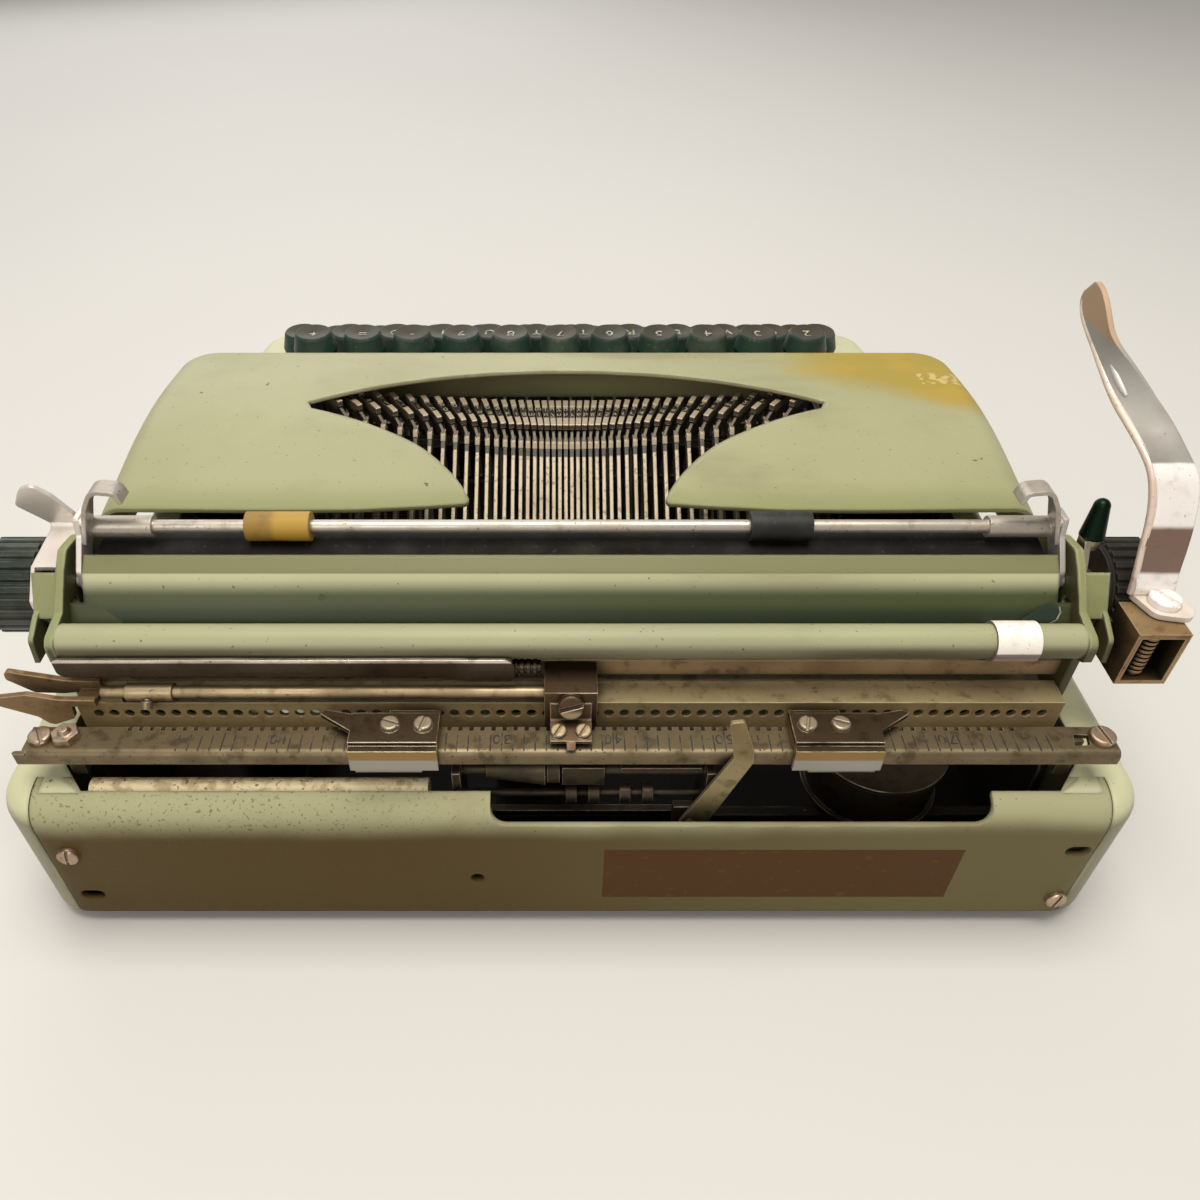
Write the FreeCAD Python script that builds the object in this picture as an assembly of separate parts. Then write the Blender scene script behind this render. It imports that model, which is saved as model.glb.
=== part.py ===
"""Flat portable typewriter with a fan of typebars under a shaped cover and a sliding carriage.

Frame: X to the typist's right, Y away from the typist, Z up, millimetres.
The origin is on the surface the feet stand on, in the middle of the machine.
Each named piece is written as parts/NAME.step.
"""
import FreeCAD, Part
import math
import os

Vec = FreeCAD.Vector

# Driving dimensions -------------------------------------------------------------------------
REAR = 148.0            # Y of the rear panel's outer face
FRONT = -148.0          # Y of the casing's front edge
HALF_WIDTH = 138.0      # casing, middle to side
CASING_BOTTOM = 5.0     # Z, carried by the feet
CASING_TOP = 48.0       # Z of the rear and side rims
DECK_FRONT = 27.0       # Z of the casing's rim at the front edge
SHEET = 1.4             # casing sheet thickness
RIM_ROLL = 8.0          # radius of the rolled rim
PANEL_HALF = 127.6      # rear panel, middle to seam

COVER_HALF = 141.0
COVER_REAR = 51.0       # Y of the cover's rear edge
COVER_FRONT = -50.0
COVER_BOTTOM = 46.3
COVER_CROWN = 71.5      # Z of the cover's highest line

PLATEN_Y = 98.0
PLATEN_Z = 74.5
PLATEN_R = 14.5
PLATEN_HALF = 113.0

RAIL_Y = 127.0          # rear face of the perforated rail
RAIL_TOP = 62.0
RAIL_HALF = 118.0
HOLE_PITCH = 3.72

RACK_Z = 59.0           # top face of the margin rack
RACK_REAR = 140.4
RACK_FRONT = 132.0
RACK_HALF = 127.0

TRACK_Y = 108.0
TRACK_Z = 50.0

BARS_EACH_SIDE = 21     # typebars left and right of the middle one
SLUG_LINE_Y = -13.0     # Y of the row of type slugs
PRINT_Y = 82.5          # Y and Z of the print point
PRINT_Z = 74.0
HUB_Y = 41.0
HUB_Z = 22.0
HUB_ARC = 156.0         # radius of the curve that carries the typebar pivots

KEY_PITCH = 18.6
KEY_ROWS = (            # name, Y, Z of the key tops, first and last lever place
    ("number_row", -58.0, 68.5, -20, 20),
    ("upper_row", -77.0, 60.0, -18, 22),
    ("middle_row", -96.0, 51.0, -21, 19),
    ("lower_row", -114.5, 42.0, -19, 17),
)
LEVER_STEP = KEY_PITCH / 4      # levers lie side by side, a quarter of a key apart
KEY_SHIFT = 1.75        # X of lever place 0
STRIKING_PLACE = -1             # middle-row key that swings the middle typebar
BACK_SPACE_PLACE = -22
SHIFT_PLACES = (-23, 21)
SPACE_BAR_Y = -131.0
SPACE_BAR_TOP = 34.5
FULCRUM_Y = 62.0
FULCRUM_Z = 14.0
LEVER_T = 1.2
SIDE_PLATE = 116.0      # inner face of each chassis side plate
SIDE_T = 2.5

DRUM_X = -80.0          # mainspring drum, with its upright spindle
DRUM_Y = 120.0
DRUM_R = 16.5
WHEEL_X = 12.0          # escapement wheel and pinion
PINION_TEETH = 16
PINION_R = 8.0          # pitch radius
RACK_LINE = 51.4        # Z of the pitch line of the carriage's teeth
WHEEL_Z = RACK_LINE - PINION_R
SPOOL_X = 105.8
SPOOL_Y = 19.0

STOP_HALF = 6.2         # centre stop on the carriage, half its width
STOP_RIGHT = 30.7       # inner faces of the two margin stops, as set
STOP_LEFT = -51.3

END_PLATE = 118.4       # inner face of the carriage end plates
END_T = 2.0
SHAFT_R = 4.0
BAIL_Y = 98.0
BAIL_Z = 92.6
BAIL_R = 1.6
BAIL_PIVOT = (105.5, 82.0)
RELEASE_PIVOT = (110.3, 79.0)
LOCK_PIVOT = (-29.0, 37.0)      # X, Z of the line lock arm's pin
TUBE_Y = 121.0
TUBE_Z = 76.5
TUBE_R = 4.1

parts = {}


# Small builders -----------------------------------------------------------------------------
def box(x0, x1, y0, y1, z0, z1):
    return Part.makeBox(x1 - x0, y1 - y0, z1 - z0, Vec(x0, y0, z0))


def rod(start, end, radius):
    """Solid cylinder between two points."""
    a = Vec(*start)
    b = Vec(*end)
    return Part.makeCylinder(radius, (b - a).Length, a, b - a)


def tube(start, end, outer, inner):
    return rod(start, end, outer).cut(rod(start, end, inner))


def corner_wire(points):
    """Closed flat wire through (point, radius) pairs, with a tangent arc at each radius."""
    edges = []
    ends = []
    count = len(points)
    for i, (here, radius) in enumerate(points):
        before = points[i - 1][0]
        after = points[(i + 1) % count][0]
        if radius <= 0:
            ends.append((here, here, None))
            continue
        u = (before - here).normalize()
        v = (after - here).normalize()
        half = u.getAngle(v) / 2
        reach = radius / math.tan(half)
        middle = (u + v).normalize()
        arc_mid = here + middle * (radius / math.sin(half) - radius)
        ends.append((here + u * reach, here + v * reach, arc_mid))
    for i, (start, end, arc_mid) in enumerate(ends):
        if arc_mid is not None:
            edges.append(Part.Arc(start, arc_mid, end).toShape())
        following = ends[(i + 1) % count][0]
        if (following - end).Length > 1e-6:
            edges.append(Part.LineSegment(end, following).toShape())
    return Part.Wire(edges)


def place(plane, a, b, at):
    """A point given in a plane: xy at Z, yz at X, xz at Y."""
    if plane == "xy":
        return Vec(a, b, at)
    if plane == "yz":
        return Vec(at, a, b)
    return Vec(a, at, b)


def slab(points, plane, low, high):
    """Flat outline of (a, b) or (a, b, corner radius), extruded from low to high."""
    pairs = []
    for point in points:
        radius = point[2] if len(point) > 2 else 0.0
        pairs.append((place(plane, point[0], point[1], low), radius))
    face = Part.Face(corner_wire(pairs))
    return face.extrude(place(plane, 0, 0, high - low))


def side_offset(points, distance):
    """Points of a bent line moved sideways by distance, with each bend's radius to suit."""
    moved = []
    last = len(points) - 1
    for i, point in enumerate(points):
        here = Vec(point[0], point[1], 0)
        radius = point[2] if len(point) > 2 else 0.0
        into = here - Vec(points[i - 1][0], points[i - 1][1], 0) if i > 0 else None
        out = Vec(points[i + 1][0], points[i + 1][1], 0) - here if i < last else None
        into = into or out
        out = out or into
        n1 = Vec(-into.y, into.x, 0).normalize()
        n2 = Vec(-out.y, out.x, 0).normalize()
        mitre = (n1 + n2).normalize()
        shift = distance / mitre.dot(n1)
        turn = into.cross(out).z
        change = -distance if turn > 0 else distance
        moved.append((here.x + mitre.x * shift, here.y + mitre.y * shift,
                      max(radius + change, 0.0) if radius else 0.0))
    return moved


def strip(points, plane, thickness, low, high):
    """Sheet metal bent along a line of (a, b, bend radius), extruded from low to high."""
    left = side_offset(points, thickness / 2)
    right = side_offset(points, -thickness / 2)
    return slab(left + right[::-1], plane, low, high)


def fuse(shapes):
    first, rest = shapes[0], shapes[1:]
    return first.fuse(rest).removeSplitter() if rest else first


def mirror_x(shape):
    return shape.mirror(Vec(0, 0, 0), Vec(1, 0, 0))


def slotted_screw(centre, axis, radius, height, slot_angle):
    """Cheese-head screw standing on centre, with its slot across the head."""
    c = Vec(*centre)
    a = Vec(*axis).normalize()
    head = Part.makeCylinder(radius, height, c, a)
    head = head.makeFillet(height * 0.35, [e for e in head.Edges if abs(
        (e.CenterOfMass - c).dot(a) - height) < 1e-6 and e.Closed])
    slot = Part.makeBox(radius * 3, radius * 0.32, height, Vec(-radius * 1.5, -radius * 0.16, 0))
    slot.rotate(Vec(0, 0, 0), Vec(0, 0, 1), slot_angle)
    turn = FreeCAD.Rotation(Vec(0, 0, 1), a)
    slot.Placement = FreeCAD.Placement(c + a * height * 0.5, turn).multiply(slot.Placement)
    return head.cut(slot)


def keep(name, shape):
    """File a piece under its name; loose solids stay separate in one group."""
    solids = shape.Solids
    parts[name] = solids[0] if len(solids) == 1 else Part.makeCompound(solids)


def group(name, shapes):
    solids = []
    for shape in shapes:
        solids.extend(shape.Solids)
    parts[name] = Part.makeCompound(solids)


# Casing -------------------------------------------------------------------------------------
def rounded_block(half, y0, y1, front_r, rear_r, profile):
    """Plan with rounded corners under a side profile, and the list of its top edges."""
    plan = slab([(-half, y1, rear_r), (-half, y0, front_r), (half, y0, front_r),
                 (half, y1, rear_r)], "xy", profile[0][1], 100)
    body = plan.common(slab(profile, "yz", -half - 5, half + 5))
    top_edges = []
    for edge in body.Edges:
        touching = [f for f in body.Faces if any(edge.isSame(g) for g in f.Edges)]
        ups = [abs(f.normalAt(*[sum(f.ParameterRange[i:i + 2]) / 2 for i in (0, 2)]).z)
               for f in touching]
        if edge.BoundBox.ZMin > profile[0][1] + 1 and min(ups) < 0.3 and max(ups) > 0.8:
            top_edges.append(edge)
    return body, top_edges


def casing_form(inset):
    """Outer (inset 0) or inner form of the lower casing."""
    top = CASING_TOP - inset
    front = DECK_FRONT - inset
    profile = [(REAR + 9, CASING_BOTTOM - inset), (REAR + 9, top), (COVER_FRONT + 10, top - 2, 60),
               (FRONT - 9, front - 1.8), (FRONT - 9, CASING_BOTTOM - inset)]
    body, edges = rounded_block(HALF_WIDTH - inset, FRONT + inset, REAR - inset,
                                18 - inset, 13 - inset, profile)
    return body.makeFillet(RIM_ROLL - inset, edges)


def casing_openings():
    """Space over the mechanism, the keyboard well and the space bar's slot."""
    rear = REAR - 6
    return slab([(-116, rear), (-125, rear - 11), (-125, -49), (-117, -50), (-117, -124, 6),
                 (-72, -124), (-72, -139, 5), (72, -139, 5), (72, -124), (117, -124, 6),
                 (117, -50), (125, -49), (125, rear - 11), (116, rear)], "xy", 10, 60)


def make_casing():
    shell = casing_form(0).cut(casing_form(SHEET)).cut(casing_openings())
    seam = box(-PANEL_HALF, PANEL_HALF, REAR - 10, REAR + 2, 0, 60)
    corner = slab([(-116, REAR - 5.5), (-126, REAR - 5.5), (-126, REAR - 13)], "xy", 44, 50)
    seam = seam.cut(corner).cut(mirror_x(corner))
    panel = shell.common(seam)
    notch = slab([(-99.6, 41.5, 4), (-99.6, 60), (19, 60), (19, 41.5, 4)], "xz", REAR - 20, REAR + 2)
    holes = [rod((23.1, REAR - 4, 20.4), (23.1, REAR + 2, 20.4), 1.7)]
    for x, z in ((122.0, 12.9), (-123.5, 31.8)):
        holes.append(slab([(x - 3, z - 1.8, 1.7), (x + 3, z - 1.8, 1.7), (x + 3, z + 1.8, 1.7),
                           (x - 3, z + 1.8, 1.7)], "xz", REAR - 4, REAR + 2))
    for x, z in ((122.2, 30.6), (-124.8, 11.6)):
        holes.append(rod((x, REAR - 4, z), (x, REAR + 2, z), 1.6))
    keep("rear_panel", panel.cut(notch).cut(holes))
    keep("lower_casing", shell.cut(box(-PANEL_HALF - 0.3, PANEL_HALF + 0.3, REAR - 10, REAR + 2,
                                       0, 60).cut(corner).cut(mirror_x(corner))))
    screws = []
    for x, z in ((122.2, 30.6), (-124.8, 11.6)):
        head = slotted_screw((x, REAR, z), (0, 1, 0), 2.6, 1.6, 80)
        screws.append(head.fuse(rod((x, REAR - 6, z), (x, REAR, z), 1.5)))
    group("rear_panel_screws", screws)


def make_base():
    inset = SHEET + 0.2
    plate = slab([(-HALF_WIDTH + inset, REAR - inset, 12.5), (-HALF_WIDTH + inset, FRONT + inset, 17.5),
                  (HALF_WIDTH - inset, FRONT + inset, 17.5), (HALF_WIDTH - inset, REAR - inset, 12.5)],
                 "xy", CASING_BOTTOM, CASING_BOTTOM + 1.5)
    spots = [(x, y) for x in (-118, 118) for y in (-126, 126)]
    feet = []
    for x, y in spots:
        plate = plate.cut(rod((x, y, 0), (x, y, 20), 3.1))
        foot = Part.makeCone(7.0, 8.5, CASING_BOTTOM, Vec(x, y, 0), Vec(0, 0, 1))
        feet.append(foot.fuse(rod((x, y, 0), (x, y, CASING_BOTTOM + 1.5), 3.0)))
    keep("base_plate", plate)
    group("rubber_feet", feet)


def make_frame():
    """Two side plates tied by cross bars, with brackets for what turns between them."""
    base = CASING_BOTTOM + 1.5
    outline = [(132, base), (132, 46, 4), (118, 46), (118, 49.0), (100, 49.0), (98, 40, 4),
               (60, 26, 8), (34, 26), (32, 45.8), (6, 45.8), (2, 30, 4), (-8, 30, 4), (-10, 47.2),
               (-24, 47.2), (-28, 26, 6), (-62, 26, 8), (-80, base)]
    side = slab(outline, "yz", SIDE_PLATE, SIDE_PLATE + SIDE_T)
    side = side.cut(rod((100, FULCRUM_Y, FULCRUM_Z), (130, FULCRUM_Y, FULCRUM_Z), 1.5))
    inner = SIDE_PLATE
    bars = [box(-inner, inner, 128.5, 131.5, base, 24),
            box(-inner, inner, 33.5, 36.5, 15.5, 19),
            box(-inner, inner, -74, -70, base, 10),
            box(-inner, inner, -19, -16, 44.2, 47.2)]
    bars.append(box(DRUM_X - 8, DRUM_X + 8, 112, 128.5, 20, 24))
    bars.append(rod((DRUM_X, DRUM_Y, 24), (DRUM_X, DRUM_Y, 44), 2.0))
    bars.append(box(4, 20, 114, 116, 20, 49.8).fuse(box(4, 20, 116, 128.5, 20, 24)))
    bars.append(rod((WHEEL_X, 116, WHEEL_Z), (WHEEL_X, 128.6, WHEEL_Z), 1.5))
    bars.append(box(76, 92, 86, 129, base, 9).fuse(rod((84, 91, 9), (84, 91, 24), 1.5)))
    for end in (-1, 1):
        shelf = box(SPOOL_X - 6, SIDE_PLATE, SPOOL_Y - 6, SPOOL_Y + 6, 43.8, 45.8)
        shelf = shelf.fuse(rod((SPOOL_X, SPOOL_Y, 45.8), (SPOOL_X, SPOOL_Y, 60), 2.0))
        bars.append(shelf if end > 0 else mirror_x(shelf))
    keep("chassis_frame", fuse([side, mirror_x(side)] + bars))
    track = box(-119, 119, TRACK_Y - 5, TRACK_Y + 5, TRACK_Z - 1, TRACK_Z + 4)
    groove = rod((-120, TRACK_Y - 5.6, 51.5), (120, TRACK_Y - 5.6, 51.5), 1.6)
    keep("carriage_track", track.cut(groove).cut(groove.translated(Vec(0, 11.2, 0))))
    shaft_end = SIDE_PLATE + SIDE_T
    keep("key_fulcrum_shaft", rod((-shaft_end, FULCRUM_Y, FULCRUM_Z),
                                  (shaft_end, FULCRUM_Y, FULCRUM_Z), 1.48))


def lip_arc(shift):
    """Plan arc of the cover's front lip over the type slugs, as three points."""
    return (Vec(-85.8, -2.1 + shift * 0.6, 0), Vec(0, -26.2 - shift, 0), Vec(85.8, -2.1 + shift * 0.6, 0))


def cover_form(inset):
    crown = COVER_CROWN - inset
    profile = [(COVER_REAR + 9, COVER_BOTTOM - inset), (COVER_REAR + 9, crown - 8.2),
               (0, crown, 200), (COVER_FRONT - 9, crown - 6), (COVER_FRONT - 9, COVER_BOTTOM - inset)]
    body, edges = rounded_block(COVER_HALF - inset, COVER_FRONT + inset, COVER_REAR + 4,
                                15 - inset, 0, profile)
    edges = [e for e in edges if e.BoundBox.YMin < COVER_REAR]
    return body.makeFillet(9 - inset, edges)


def crescent_wire():
    """Opening over the type slugs, narrowing between two curved lobes to a throat at the rear."""
    lip = lip_arc(0)
    lobe = [Vec(83.8, 1.9, 0), Vec(76, 5.0, 0), Vec(66, 9.8, 0), Vec(55.5, 16, 0), Vec(45.5, 23.4, 0),
            Vec(36.6, 33.6, 0), Vec(31, 42.8, 0), Vec(29.6, 46.2, 0)]
    tip = [lobe[-1], Vec(29.5, 48.0, 0), Vec(31.6, 49, 0)]
    end = Vec(31.6, 70, 0)
    edges = [Part.Arc(*lip).toShape()]
    for side in (1, -1):
        flip = [Vec(side * p.x, p.y, 0) for p in lobe]
        curve = Part.BSplineCurve()
        curve.interpolate(flip)
        bend = [Vec(side * p.x, p.y, 0) for p in tip]
        corner = lip[2] if side > 0 else lip[0]
        edges += [Part.LineSegment(corner, flip[0]).toShape(), curve.toShape(), Part.Arc(*bend).toShape(),
                  Part.LineSegment(bend[2], Vec(side * end.x, end.y, 0)).toShape()]
    edges.append(Part.LineSegment(end, Vec(-end.x, end.y, 0)).toShape())
    return Part.Wire(Part.__sortEdges__(edges))


def make_cover():
    outer = cover_form(0)
    shell = outer.cut(cover_form(1.2))
    edge = [(COVER_HALF + 1, COVER_REAR), (86, COVER_REAR + 0.7), (62, COVER_REAR + 0.4),
            (42, COVER_REAR - 1), (31.6, COVER_REAR - 2)]
    rear_cut = slab([(-COVER_HALF - 1, 80)] + [(-x, y) for x, y in edge] + edge[::-1]
                    + [(COVER_HALF + 1, 80)], "xy", 40, 80)
    opening = Part.Face(crescent_wire()).extrude(Vec(0, 0, 60)).translated(Vec(0, 0, 40))
    shell = shell.cut(rear_cut).cut(opening)
    inner, outside = lip_arc(0), lip_arc(1.3)
    ring = Part.Wire([Part.Arc(*inner).toShape(), Part.LineSegment(inner[2], outside[2]).toShape(),
                      Part.Arc(outside[2], outside[1], outside[0]).toShape(),
                      Part.LineSegment(outside[0], inner[0]).toShape()])
    wall = Part.Face(ring).extrude(Vec(0, 0, 14)).translated(Vec(0, 0, 59))
    keep("top_cover", fuse([shell, wall.common(outer)]))


# Type basket --------------------------------------------------------------------------------
def slug_x(i):
    """X of slug i: close together in the middle, spreading towards the ends of the fan."""
    return 2.3 * i + 0.0036 * i ** 3


def hub_height(x):
    return HUB_Z + HUB_ARC - math.sqrt(HUB_ARC ** 2 - x ** 2)


def typebar(i):
    """One typebar: hub, shaft, head and the slug that points at the print point."""
    x = slug_x(i)
    aim = math.atan2(x, PRINT_Y - SLUG_LINE_Y)
    slug_z = 57.0 + 8.0 * (x / 82.0) ** 2
    stem_x = x - 11.0 * math.sin(aim)
    stem_y = SLUG_LINE_Y + 11.0 * math.cos(aim)
    hub_z = hub_height(stem_x)
    low = slug_z - 7.0
    shaft = slab([(HUB_Y + 3, hub_z - 2), (HUB_Y + 1.5, hub_z + 3), (stem_y + 2.5, low + 3.6),
                  (stem_y - 2, low + 5), (stem_y - 2, low), (stem_y + 2, low - 1.2),
                  (HUB_Y - 3, hub_z + 0.5), (HUB_Y - 1, hub_z - 3)], "yz", stem_x - 0.6, stem_x + 0.6)
    shaft = shaft.cut(rod((stem_x - 2, HUB_Y, hub_z), (stem_x + 2, HUB_Y, hub_z), 0.85))
    head = slab([(12.6, -8.2), (12.6, -5.2), (8.0, -2.4), (-9.0, -2.4), (-9.0, -5.0), (6, -7)],
                "yz", -0.55, 0.55)
    slug = slab([(8.6, -3.4), (8.6, 0), (5.4, 0), (5.0, -0.7), (1.6, -0.7), (1.2, 0),
                 (-5.4, 0), (-5.8, -0.7), (-8.6, -0.7), (-8.6, -3.4)], "yz", -0.95, 0.95)
    top = head.fuse(slug)
    top.rotate(Vec(0, 0, 0), Vec(0, 0, 1), math.degrees(aim))
    top.translate(Vec(x, SLUG_LINE_Y, slug_z + 3.0))
    return shaft.fuse(top).removeSplitter()


def pivot_wire(radius):
    """Round bar along the curve of the typebar pivots."""
    centre = Vec(0, HUB_Y, HUB_Z + HUB_ARC)
    sweep = math.degrees(math.asin(64.0 / HUB_ARC))
    circle = Part.makeCircle(radius, Vec(0, HUB_Y, HUB_Z), Vec(1, 0, 0))
    bent = Part.Face(Part.Wire(circle)).revolve(centre, Vec(0, 1, 0), 2 * sweep)
    bent.rotate(centre, Vec(0, 1, 0), -sweep)
    return bent


def make_basket():
    bars = [typebar(i) for i in range(-BARS_EACH_SIDE, BARS_EACH_SIDE + 1) if i != 0]
    group("typebars", bars)
    keep("strike_typebar", typebar(0))
    half = 66.0
    low = hub_height(half) - 6.0
    high = hub_height(half) + 3.4
    arc_low = Part.Arc(Vec(-half, 0, low), Vec(0, 0, HUB_Z - 6.0), Vec(half, 0, low)).toShape()
    arc_high = Part.Arc(Vec(half, 0, high), Vec(0, 0, HUB_Z + 3.4), Vec(-half, 0, high)).toShape()
    ends = [Part.LineSegment(arc_low.Vertexes[1].Point, arc_high.Vertexes[0].Point).toShape(),
            Part.LineSegment(arc_high.Vertexes[1].Point, arc_low.Vertexes[0].Point).toShape()]
    block = Part.Face(Part.Wire([arc_low, ends[0], arc_high, ends[1]])).extrude(Vec(0, 9, 0))
    block.translate(Vec(0, HUB_Y - 4.5, 0))
    slots = []
    for i in range(-BARS_EACH_SIDE, BARS_EACH_SIDE + 1):
        x = slug_x(i)
        aim = math.atan2(x, PRINT_Y - SLUG_LINE_Y)
        stem_x = x - 11.0 * math.sin(aim)
        slots.append(box(stem_x - 0.75, stem_x + 0.75, HUB_Y - 6, HUB_Y + 6,
                         hub_height(stem_x) - 4.0, 80))
    legs = [box(x, x + 5, HUB_Y - 4.5, HUB_Y - 1, 15.5, 32) for x in (-66, 61)]
    block = block.cut(Part.makeCompound(slots)).cut(pivot_wire(0.82))
    keep("segment", fuse([block] + legs))
    keep("segment_wire", pivot_wire(0.8))
    guide = slab([(-7, 52), (7, 52), (7, 62, 2), (3.2, 66), (3.2, 71.5, 1), (1.7, 72, 0.5),
                  (1.7, 64, 1), (-1.7, 64, 1), (-1.7, 72, 0.5), (-3.2, 71.5, 1), (-3.2, 66),
                  (-7, 62, 2)], "xz", 76.0, 77.2)
    throat = box(-2.4, 2.4, 60, 80, 30, 64.4)
    arm = box(-7, 7, 66, 77.2, 50.8, 52)
    post = box(-7, 7, 66, 67.5, 24, 52)
    beam = box(-SIDE_PLATE, SIDE_PLATE, 64, 69, 21, 24)
    keep("type_guide", fuse([fuse([guide, arm, post]).cut(throat), beam]))
    rest_face = [Part.Arc(Vec(-72, 6, 0), Vec(0, -14, 0), Vec(72, 6, 0)).toShape()]
    rest_face.append(Part.LineSegment(Vec(72, 6, 0), Vec(72, 1, 0)).toShape())
    rest_face.append(Part.Arc(Vec(72, 1, 0), Vec(0, -19, 0), Vec(-72, 1, 0)).toShape())
    rest_face.append(Part.LineSegment(Vec(-72, 1, 0), Vec(-72, 6, 0)).toShape())
    pad = Part.Face(Part.Wire(rest_face)).extrude(Vec(0, 0, 3)).translated(Vec(0, 0, 47.2))
    keep("type_rest", pad)


# Keyboard -----------------------------------------------------------------------------------
def keytop(x, y, top):
    """Round dished key top on a flared skirt."""
    profile = [(0, -8), (7.9, -8), (8.2, -6.4, 0.8), (6.9, -0.9, 0.6), (6.3, 0, 0.4), (5.4, -0.2, 0),
               (0, -1.3)]
    pairs = [(Vec(p[0], 0, p[1]), p[2] if len(p) > 2 else 0.0) for p in profile]
    turned = Part.Face(corner_wire(pairs)).revolve(Vec(0, 0, 0), Vec(0, 0, 1), 360)
    return turned.translated(Vec(x, y, top))


def key_lever(x, y, stem_top, drop=0):
    """Bent flat lever from the fulcrum to the upright stem under one key."""
    top = 27 - drop
    low = top - 4.5
    side = slab([(68, 11.5), (68, 17), (58, 17), (50, 13.6), (30, 14.4), (10, 18), (-44, top),
                 (y - 3, top), (y - 3, low), (-44, low), (10, 13.5), (30, 10.4), (50, 9.4)],
                "yz", x - 25, x + 25)
    rear_x = 0.9 * x
    half = LEVER_T / 2
    plan = slab([(rear_x - half, 69), (rear_x - half, 8), (x - half, -42), (x - half, y - 4),
                 (x + half, y - 4), (x + half, -42), (rear_x + half, 8), (rear_x + half, 69)],
                "xy", 0, 40)
    if abs(x) < 0.01:
        plan = box(-half, half, y - 4, 69, 0, 40)
    stem = box(x - half, x + half, y - 3, y + 3, low, stem_top)
    pivot = rod((rear_x - 2, FULCRUM_Y, FULCRUM_Z), (rear_x + 2, FULCRUM_Y, FULCRUM_Z), 1.55)
    return side.common(plan).cut(pivot).fuse(stem).removeSplitter()


def key(place, y, top):
    x = place * LEVER_STEP + KEY_SHIFT
    return [key_lever(x, y, top - 7.5), keytop(x, y, top)]


def make_keyboard():
    for name, y, top, first, last in KEY_ROWS:
        solids = []
        for place in range(first, last + 1, 4):
            if (name, place) != ("middle_row", STRIKING_PLACE):
                solids.extend(key(place, y, top))
        group(name + "_keys", solids)
    middle, upper, lower = KEY_ROWS[2], KEY_ROWS[1], KEY_ROWS[3]
    group("striking_key", key(STRIKING_PLACE, middle[1], middle[2]))
    group("back_space_key", key(BACK_SPACE_PLACE, upper[1], upper[2]))
    shifts = [solid for place in SHIFT_PLACES for solid in key(place, lower[1], lower[2])]
    group("shift_keys", shifts)
    arms = []
    reach = 24 * LEVER_STEP
    for x in (KEY_SHIFT - reach, KEY_SHIFT + reach):
        arms.append(key_lever(x, SPACE_BAR_Y + 3, 27, 6))
    cross = rod((KEY_SHIFT - reach, SPACE_BAR_Y + 2, 24.8), (KEY_SHIFT + reach, SPACE_BAR_Y + 2, 24.8), 1.5)
    posts = [box(x - 1, x + 1, SPACE_BAR_Y, SPACE_BAR_Y + 4, 24, SPACE_BAR_TOP - 7) for x in (-40, 40)]
    bar = slab([(SPACE_BAR_Y - 6.5, SPACE_BAR_TOP - 8, 1), (SPACE_BAR_Y - 5.5, SPACE_BAR_TOP, 2.5),
                (SPACE_BAR_Y + 5.5, SPACE_BAR_TOP + 1, 2.5), (SPACE_BAR_Y + 6.5, SPACE_BAR_TOP - 8, 1)],
               "yz", -64, 64)
    group("space_bar", [fuse(arms + [cross] + posts), bar])
    comb = box(-SIDE_PLATE, SIDE_PLATE, -51.2, -50.0, 8, 34)
    middles = [n * LEVER_STEP + KEY_SHIFT for n in range(-24, 25)]
    slots = [box(x - 0.9, x + 0.9, -52, -49, 9.5, 35) for x in middles]
    keep("key_comb", comb.cut(Part.makeCompound(slots)))


# Behind the carriage ------------------------------------------------------------------------
def make_rack():
    plate = strip([(RACK_FRONT, RACK_Z - 0.6), (RACK_REAR - 0.6, RACK_Z - 0.6, 1.2),
                   (RACK_REAR - 0.6, RACK_Z - 3.6)], "yz", 1.2, -RACK_HALF, RACK_HALF)
    notches = [box(x - 0.5, x + 0.5, RACK_FRONT - 1, RACK_FRONT + 1.1, RACK_Z - 2, RACK_Z + 1)
               for x in [n * 2.6 for n in range(-40, 41)]]
    plate = plate.cut(Part.makeCompound(notches))
    plate = plate.cut(slab([(-120.6, 137.6), (-116.9, 137.9), (-118.0, 134.3), (-121.3, 134.6)], "xy",
                           RACK_Z - 3, RACK_Z + 1))
    lug = slab([(RACK_HALF - 1, 139.2), (RACK_HALF + 2, 139.2, 0.6), (RACK_HALF + 2, RACK_REAR, 0.6),
                (RACK_HALF - 1, RACK_REAR)], "xy", RACK_Z - 3.6, RACK_Z - 0.2)
    legs = [box(x, x + 3.5, 133.5, 135.5, 46, RACK_Z - 1.2) for x in (117.0, -120.5)]
    feet = [box(x, x + 3.5, 119, 135.5, 46, 47.4) for x in (117.0, -120.5)]
    keep("margin_rack", fuse([plate, lug] + legs + feet))
    screws = [slotted_screw((-124, 135.6, RACK_Z), (0, 0, 1), 3.0, 1.6, 100),
              slotted_screw((123.8, 135.5, RACK_Z), (0, 0, 1), 2.7, 1.6, 120)]
    nut = slab([(117.8 + 3.2 * math.cos(math.radians(a)), 135.4 + 3.2 * math.sin(math.radians(a)))
                for a in range(0, 360, 60)], "xy", RACK_Z, RACK_Z + 2.0)
    stud = Part.makeCone(1.6, 1.0, 1.2, Vec(117.8, 135.4, RACK_Z + 2.0), Vec(0, 0, 1))
    group("margin_rack_screws", screws + [nut.fuse(stud)])


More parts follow.
